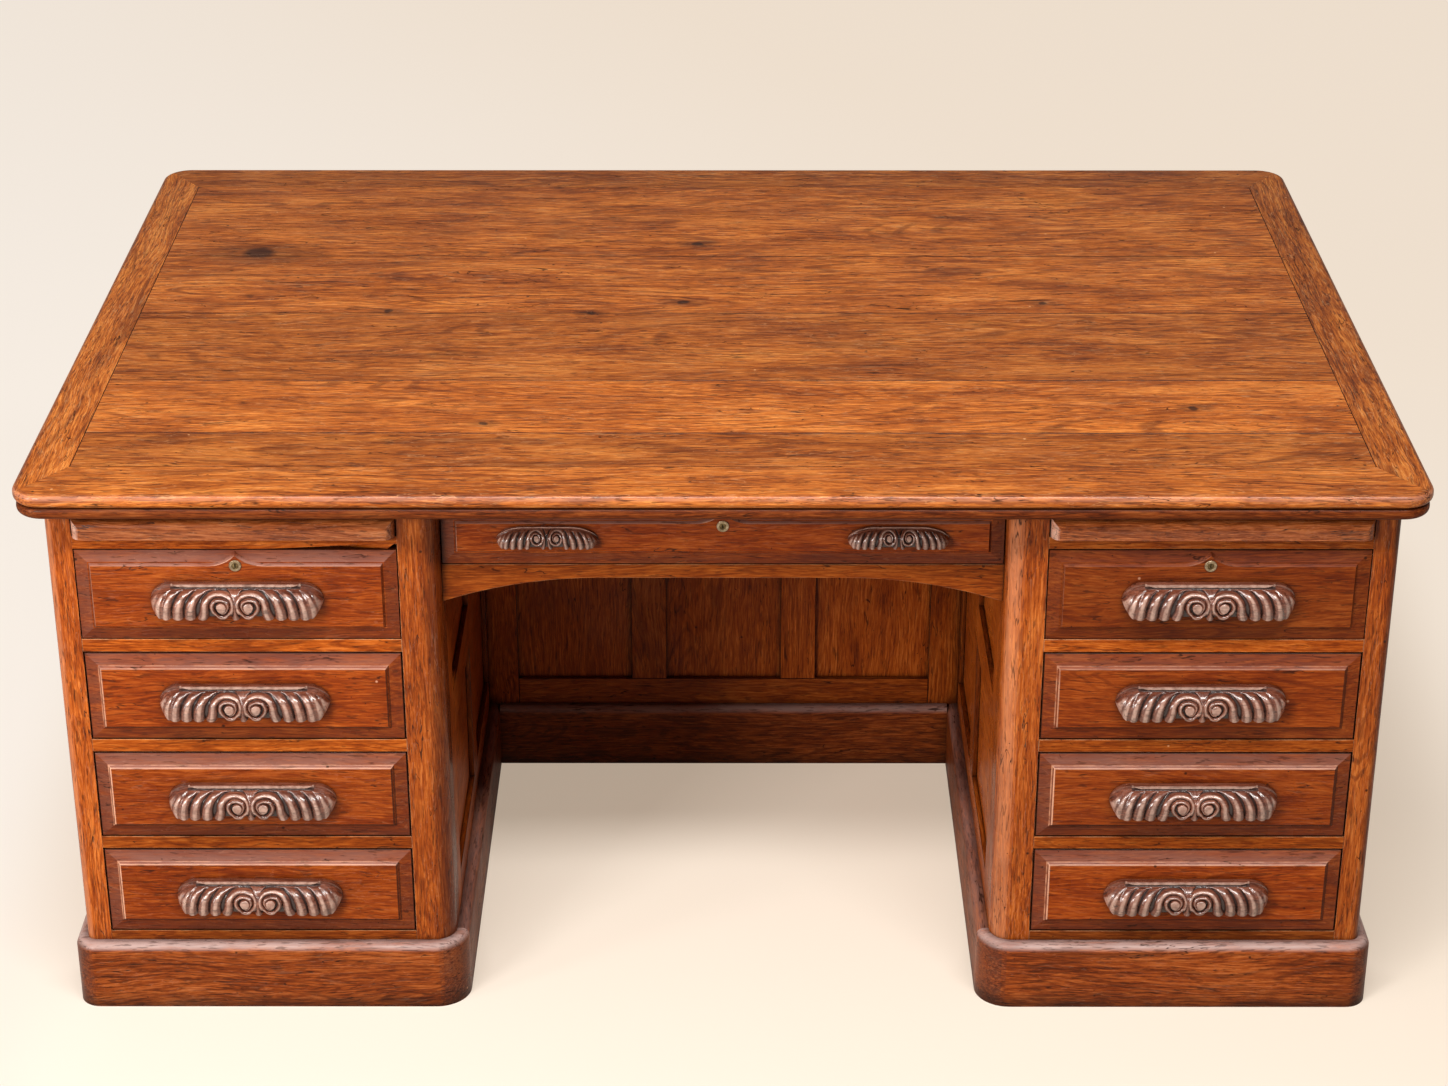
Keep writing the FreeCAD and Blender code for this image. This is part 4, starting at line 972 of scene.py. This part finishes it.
def pull_columns(width):
    """Places across a pull, even in the middle and closer together where the ends turn in."""
    bend = width / 2 - width * BEND_SHARE
    middle = np.linspace(-bend, bend, MIDDLE_COLUMNS)
    turn = np.linspace(0.0, math.pi / 2, END_COLUMNS + 1)[1:]
    end = bend + width * BEND_SHARE * np.sin(turn)
    return np.concatenate([-end[::-1], middle, end])


def pull_rows():
    """Shares of the way down a pull's front, with close rows at the fillet's edge."""
    fillet = np.linspace(0.0, FILLET_SHARE, FILLET_ROWS)
    return np.concatenate([fillet, np.linspace(COVE_SHARE, 1.0, FRONT_ROWS - FILLET_ROWS)])


def pull_section(style, share, reach_share):
    """How far the plain front stands out, as a share of the projection."""
    rise = np.clip((share - COVE_SHARE) / (BULGE_SHARE - COVE_SHARE), 0.0, 1.0)
    body = BODY_OUT_SHARE + (1.0 - BODY_OUT_SHARE) * np.sqrt(1.0 - (1.0 - rise) ** 2)
    tuck = np.clip((share - BULGE_SHARE) / (1.0 - BULGE_SHARE), 0.0, 1.0)
    body = body - (1.0 - CHIN_SHARE) * tuck ** 2
    if not style["fillet"]:
        return body
    flat_share = style["flat_share"]
    point = FILLET_SHARE * (1.0 - soft_step(flat_share - POINT_EASE_SHARE, flat_share, reach_share))
    return np.where((share <= point) & (point > LEAST_FILLET_SHARE), TOP_OUT_SHARE, body)


def pull_outline(style, width, height, x):
    """A pull's upper and lower edge at each place across it, and how far its ends turn in, from 1 to 0."""
    reach, half = np.abs(x), width / 2
    starts = (width * style["flat_share"], half - width * CORNER_SHARE, half - width * BEND_SHARE)
    over, under, turned = [np.clip((reach - start) / (half - start), 0.0, 1.0) for start in starts]
    end_level = style["end_level_share"] * height
    top = height / 2 - (height / 2 - end_level) * (1.0 - np.sqrt(1.0 - over ** 2))
    low = -height / 2 + (end_level + height / 2) * under ** LOW_CORNER_POWER
    return top, low, np.sqrt(np.clip(1.0 - turned ** 2, 0.0, 1.0))


def pull_carving(style, width, height, projection, grid_x, share):
    """The carving's height over a pull's front, laid out as it is seen from a little above."""
    plain = pull_section(dict(style, fillet=False), share, 0.0) * projection
    seen = share * height * math.cos(LOOK_DOWN) + (plain - plain[0]) * math.sin(LOOK_DOWN)
    down = np.repeat(seen[:, None], grid_x.shape[1], axis=1)
    carve = carved_height(style, width, grid_x.ravel(), down.ravel(), seen[-1]).reshape(grid_x.shape)
    flat = width * style["flat_share"]
    beside = soft_step(*np.multiply(flat, SHOULDER_SHARES), np.abs(grid_x))
    above = 1.0 - soft_step(*SHOULDER_FALL_SHARES, share)
    return np.maximum(carve, SHOULDER_LEVEL * beside * above[:, None])


def lit_edge_and_fillet_shadow(style, width, carve, grid_x, share):
    """Marks a pull's upper edge as a rubbed, lit crest, and a painted shadow line under the fillet of a pull
    that has one.
    """
    down = share[:, None]
    if not style["fillet"]:
        return np.maximum(carve, 1.0 - soft_step(*TOP_EDGE_SHARES, down))
    on_bar = np.abs(grid_x) < width * style["flat_share"]
    in_line = (down > FILLET_SHARE) & (down < COVE_SHARE + FILLET_LINE_SHARE)
    carve = np.where(on_bar & (down <= FILLET_SHARE), 1.0, carve)
    return np.where(on_bar & in_line, FILLET_SHADOW_LEVEL, carve)


def pull_underside(style, width, height, x, lip, plan, out):
    """Rows of points from a pull's lip back to the drawer, with a hollow for the fingers."""
    end_level = style["end_level_share"] * height
    hollow = 1.0 - soft_step(*np.multiply(width, HOLLOW_SHARES), np.abs(x))
    for out_share, up_share, hollow_share in UNDERSIDE_SHARES:
        floor = lip + up_share * height * plan
        level = floor + (end_level - floor) * hollow * hollow_share
        yield -np.minimum(out_share * out[0], out[1]), level, np.full_like(x, UNDERSIDE_SHADE_LEVEL)


def carve_pull(style, width, height, projection):
    """Rows of points of one pull, its back on the plane y = 0 and its middle at zero, and its carving."""
    x, share = pull_columns(width), pull_rows()
    top, low, plan = pull_outline(style, width, height, x)
    grid_x, grid_share = np.meshgrid(x, share)
    section = pull_section(style, grid_share, np.abs(grid_x) / width) * projection
    carve = pull_carving(style, width, height, projection, grid_x, share)
    edge = soft_step(0.0, END_EASE_SHARE, plan)
    depth = DEPTH_SHARE * projection * soft_step(COVE_SHARE, COVE_SHARE + style["easing_share"], share)
    out = (section - depth[:, None] * (1.0 - carve) * edge) * plan
    lip = low + SCALLOP_SHARE * height * (1.0 - carve[-1]) * edge
    level = top + (lip - top) * share[:, None]
    rows = [(np.zeros_like(x), top, np.full_like(x, BACK_LEVEL))]
    rows += zip(-out, level, lit_edge_and_fillet_shadow(style, width, carve, grid_x, share))
    rows += pull_underside(style, width, height, x, lip, plan, (projection * plan, out[-1]))
    y, z, crest = (np.array(values) for values in zip(*rows))
    return x, y, z, crest


def pull_mesh(style, width, height, projection):
    """One pull as points, four-sided faces and the carving's level at each point."""
    x, y, z, crest = carve_pull(style, width, height, projection)
    rows, columns = y.shape
    points = np.stack([np.tile(x, (rows, 1)), y, z], axis=2).reshape(-1, 3)
    faces = []
    for r in range(rows):
        here, below = r * columns, (r + 1) % rows * columns
        faces += [(here + k, below + k, below + k + 1, here + k + 1) for k in range(columns - 1)]
    return points, faces, crest.ravel()


BIG_PULL = {
    "fillet": True, "flat_share": 0.375, "end_level_share": -0.08, "top_share": 0.10, "easing_share": 0.08,
    "eye_shares": (0.078, 0.69), "upright": 1.0,
    "spiral_shares": (0.098, 0.084, 0.064, 0.058, 0.055, 0.046, 0.038, 0.031),
    "thick_shares": (0.027, 0.024, 0.015, 0.014, 0.0155, 0.014, 0.012, 0.008),
    "flare_share": 0.014, "button_share": 0.032,
    "feet_shares": (0.262, 0.334, 0.404, 0.454, 0.488), "lean_shares": (0.137, 0.124, 0.118, 0.102, 0.085),
    "rib_share": 0.037, "fan_shares": (0.0, 0.022, 0.044), "stem_shares": (0.0, 0.0, 0.004),
    "stem_thick_share": 0.006}
SMALL_PULL = {
    "fillet": False, "flat_share": 0.22, "end_level_share": -0.24, "top_share": 0.03, "easing_share": 0.06,
    "eye_shares": (0.098, 0.56), "upright": 1.3,
    "spiral_shares": (0.080, 0.070, 0.062, 0.054, 0.050, 0.040, 0.034, 0.028),
    "thick_shares": (0.024, 0.020, 0.014, 0.014, 0.016, 0.013, 0.011, 0.008),
    "flare_share": 0.016, "button_share": 0.028,
    "feet_shares": (0.262, 0.336, 0.404, 0.452, 0.484), "lean_shares": (0.116, 0.124, 0.120, 0.110, 0.095),
    "rib_share": 0.036, "fan_shares": (0.0, 0.026), "stem_shares": (0.060, 0.012, 0.036),
    "stem_thick_share": 0.010}


def weld(mesh):
    """Joins points that lie together and turns every face outwards."""
    bm = bmesh.new()
    bm.from_mesh(mesh)
    bmesh.ops.remove_doubles(bm, verts=bm.verts, dist=PULL_WELD)
    bmesh.ops.recalc_face_normals(bm, faces=bm.faces)
    bm.to_mesh(mesh)
    bm.free()


def place_pulls(node, style):
    """Carves a pull in the box of each solid of a node, and seats them in place of the node."""
    points, faces, carve, grain = [], [], [], []
    for triangles, _ in closed_solids(nodes[node].data):
        low, high = corners(triangles)
        size = high - low
        middle = np.array(((low.x + high.x) / 2, high.y, (low.z + high.z) / 2))
        new_points, new_faces, new_carve = pull_mesh(style, size.x, size.z, size.y)
        faces += [tuple(v + len(points) for v in f) for f in new_faces]
        points += (new_points + middle).tolist()
        carve += new_carve.tolist()
        grain += (new_points[:, [0, 2, 1]] + grain_start()).tolist()
    piece = new_piece(node + "_carved", points, faces, "pull_wood")
    add_attributes(piece.data, grain, tone=[chance.random()] * len(points), carve=carve)
    weld(piece.data)
    piece.data.set_sharp_from_angle(angle=PULL_CREASE_TURN)
    seat(piece, node)


# Every node of the desk

for node_name in sorted(nodes):
    if slot_of[node_name] == "lock_brass":
        nodes[node_name].data.materials.clear()
        nodes[node_name].data.materials.append(MATERIALS[FINISH.get(node_name, "lock_brass")])
    elif slot_of[node_name] == "pull_wood":
        place_pulls(node_name, SMALL_PULL if "centre" in node_name else BIG_PULL)
    else:
        dress(node_name)


# Floor, light and camera

FLOOR_SIZE, FLOOR_CELLS = 60.0, 4
# Lamps: place, aim, size, power and colour
LAMPS = {
    "key_lamp": ((-2.4, -3.4, 2.0), (-0.1, -0.3, 0.4), (1.1, 1.1), 98.0, (1.0, 0.97, 0.93)),
    "side_lamp": ((-3.3, -2.3, 1.1), (-0.2, -0.4, 0.4), (0.5, 1.9), 38.0, (1.0, 0.97, 0.94)),
    "strip_lamp": ((0.2, -2.3, 3.4), (0.1, -0.8, 0.5), (3.2, 0.5), 142.0, (1.0, 0.98, 0.95)),
    "back_lamp": ((0.3, 2.2, 3.6), (0.0, 0.0, 0.6), (3.0, 1.6), 3.0, (1.0, 0.98, 0.96)),
}
ROOM_FILL, ROOM_MIRRORED = (0.16, 0.155, 0.15, 1.0), (0.22, 0.213, 0.207, 1.0)
ROOM_BACKDROP = tint(236, 220, 204)

# The camera's place, turns in degrees, and lens and sensor width in millimetres
CAMERA_PLACE = (0.0053, -3.9821, 2.3399)
CAMERA_PITCH, CAMERA_YAW = 25.90, -0.064
CAMERA_LENS, SENSOR_WIDTH = 76.76, 36.0


def add_floor():
    bpy.ops.mesh.primitive_grid_add(x_subdivisions=FLOOR_CELLS, y_subdivisions=FLOOR_CELLS, size=FLOOR_SIZE)
    floor = bpy.context.object
    floor.name = "studio_floor"
    floor.data.materials.append(pale_floor())


def add_lamp(name, place, aim, size, power, colour):
    data = bpy.data.lights.new(name, "AREA")
    data.shape = "RECTANGLE"
    data.size, data.size_y = size
    data.energy = power
    data.color = colour
    lamp = bpy.data.objects.new(name, data)
    lamp.location = place
    lamp.rotation_euler = (Vector(aim) - Vector(place)).to_track_quat("-Z", "Y").to_euler()
    bpy.context.scene.collection.objects.link(lamp)


def add_world():
    """A faint fill for the object, a dim room in reflections and a pale backdrop for the camera."""
    world = bpy.data.worlds.new("studio")
    graph = Graph(world)
    seen, mirrored = graph.rays()
    colour = graph.mix(seen, graph.mix(mirrored, ROOM_FILL, ROOM_MIRRORED), ROOM_BACKDROP)
    graph.put(graph.tree.nodes["Background"].inputs["Color"], colour)
    bpy.context.scene.world = world


def add_camera():
    data = bpy.data.cameras.new("photo_camera")
    data.sensor_width = SENSOR_WIDTH
    data.lens = CAMERA_LENS
    camera = bpy.data.objects.new("photo_camera", data)
    camera.location = CAMERA_PLACE
    camera.rotation_euler = (math.radians(QUARTER_TURN - CAMERA_PITCH), 0.0, math.radians(-CAMERA_YAW))
    bpy.context.scene.collection.objects.link(camera)
    bpy.context.scene.camera = camera


add_floor()
for lamp_name, settings in LAMPS.items():
    add_lamp(lamp_name, *settings)
add_world()
add_camera()
bpy.context.scene.view_settings.view_transform = "Standard"
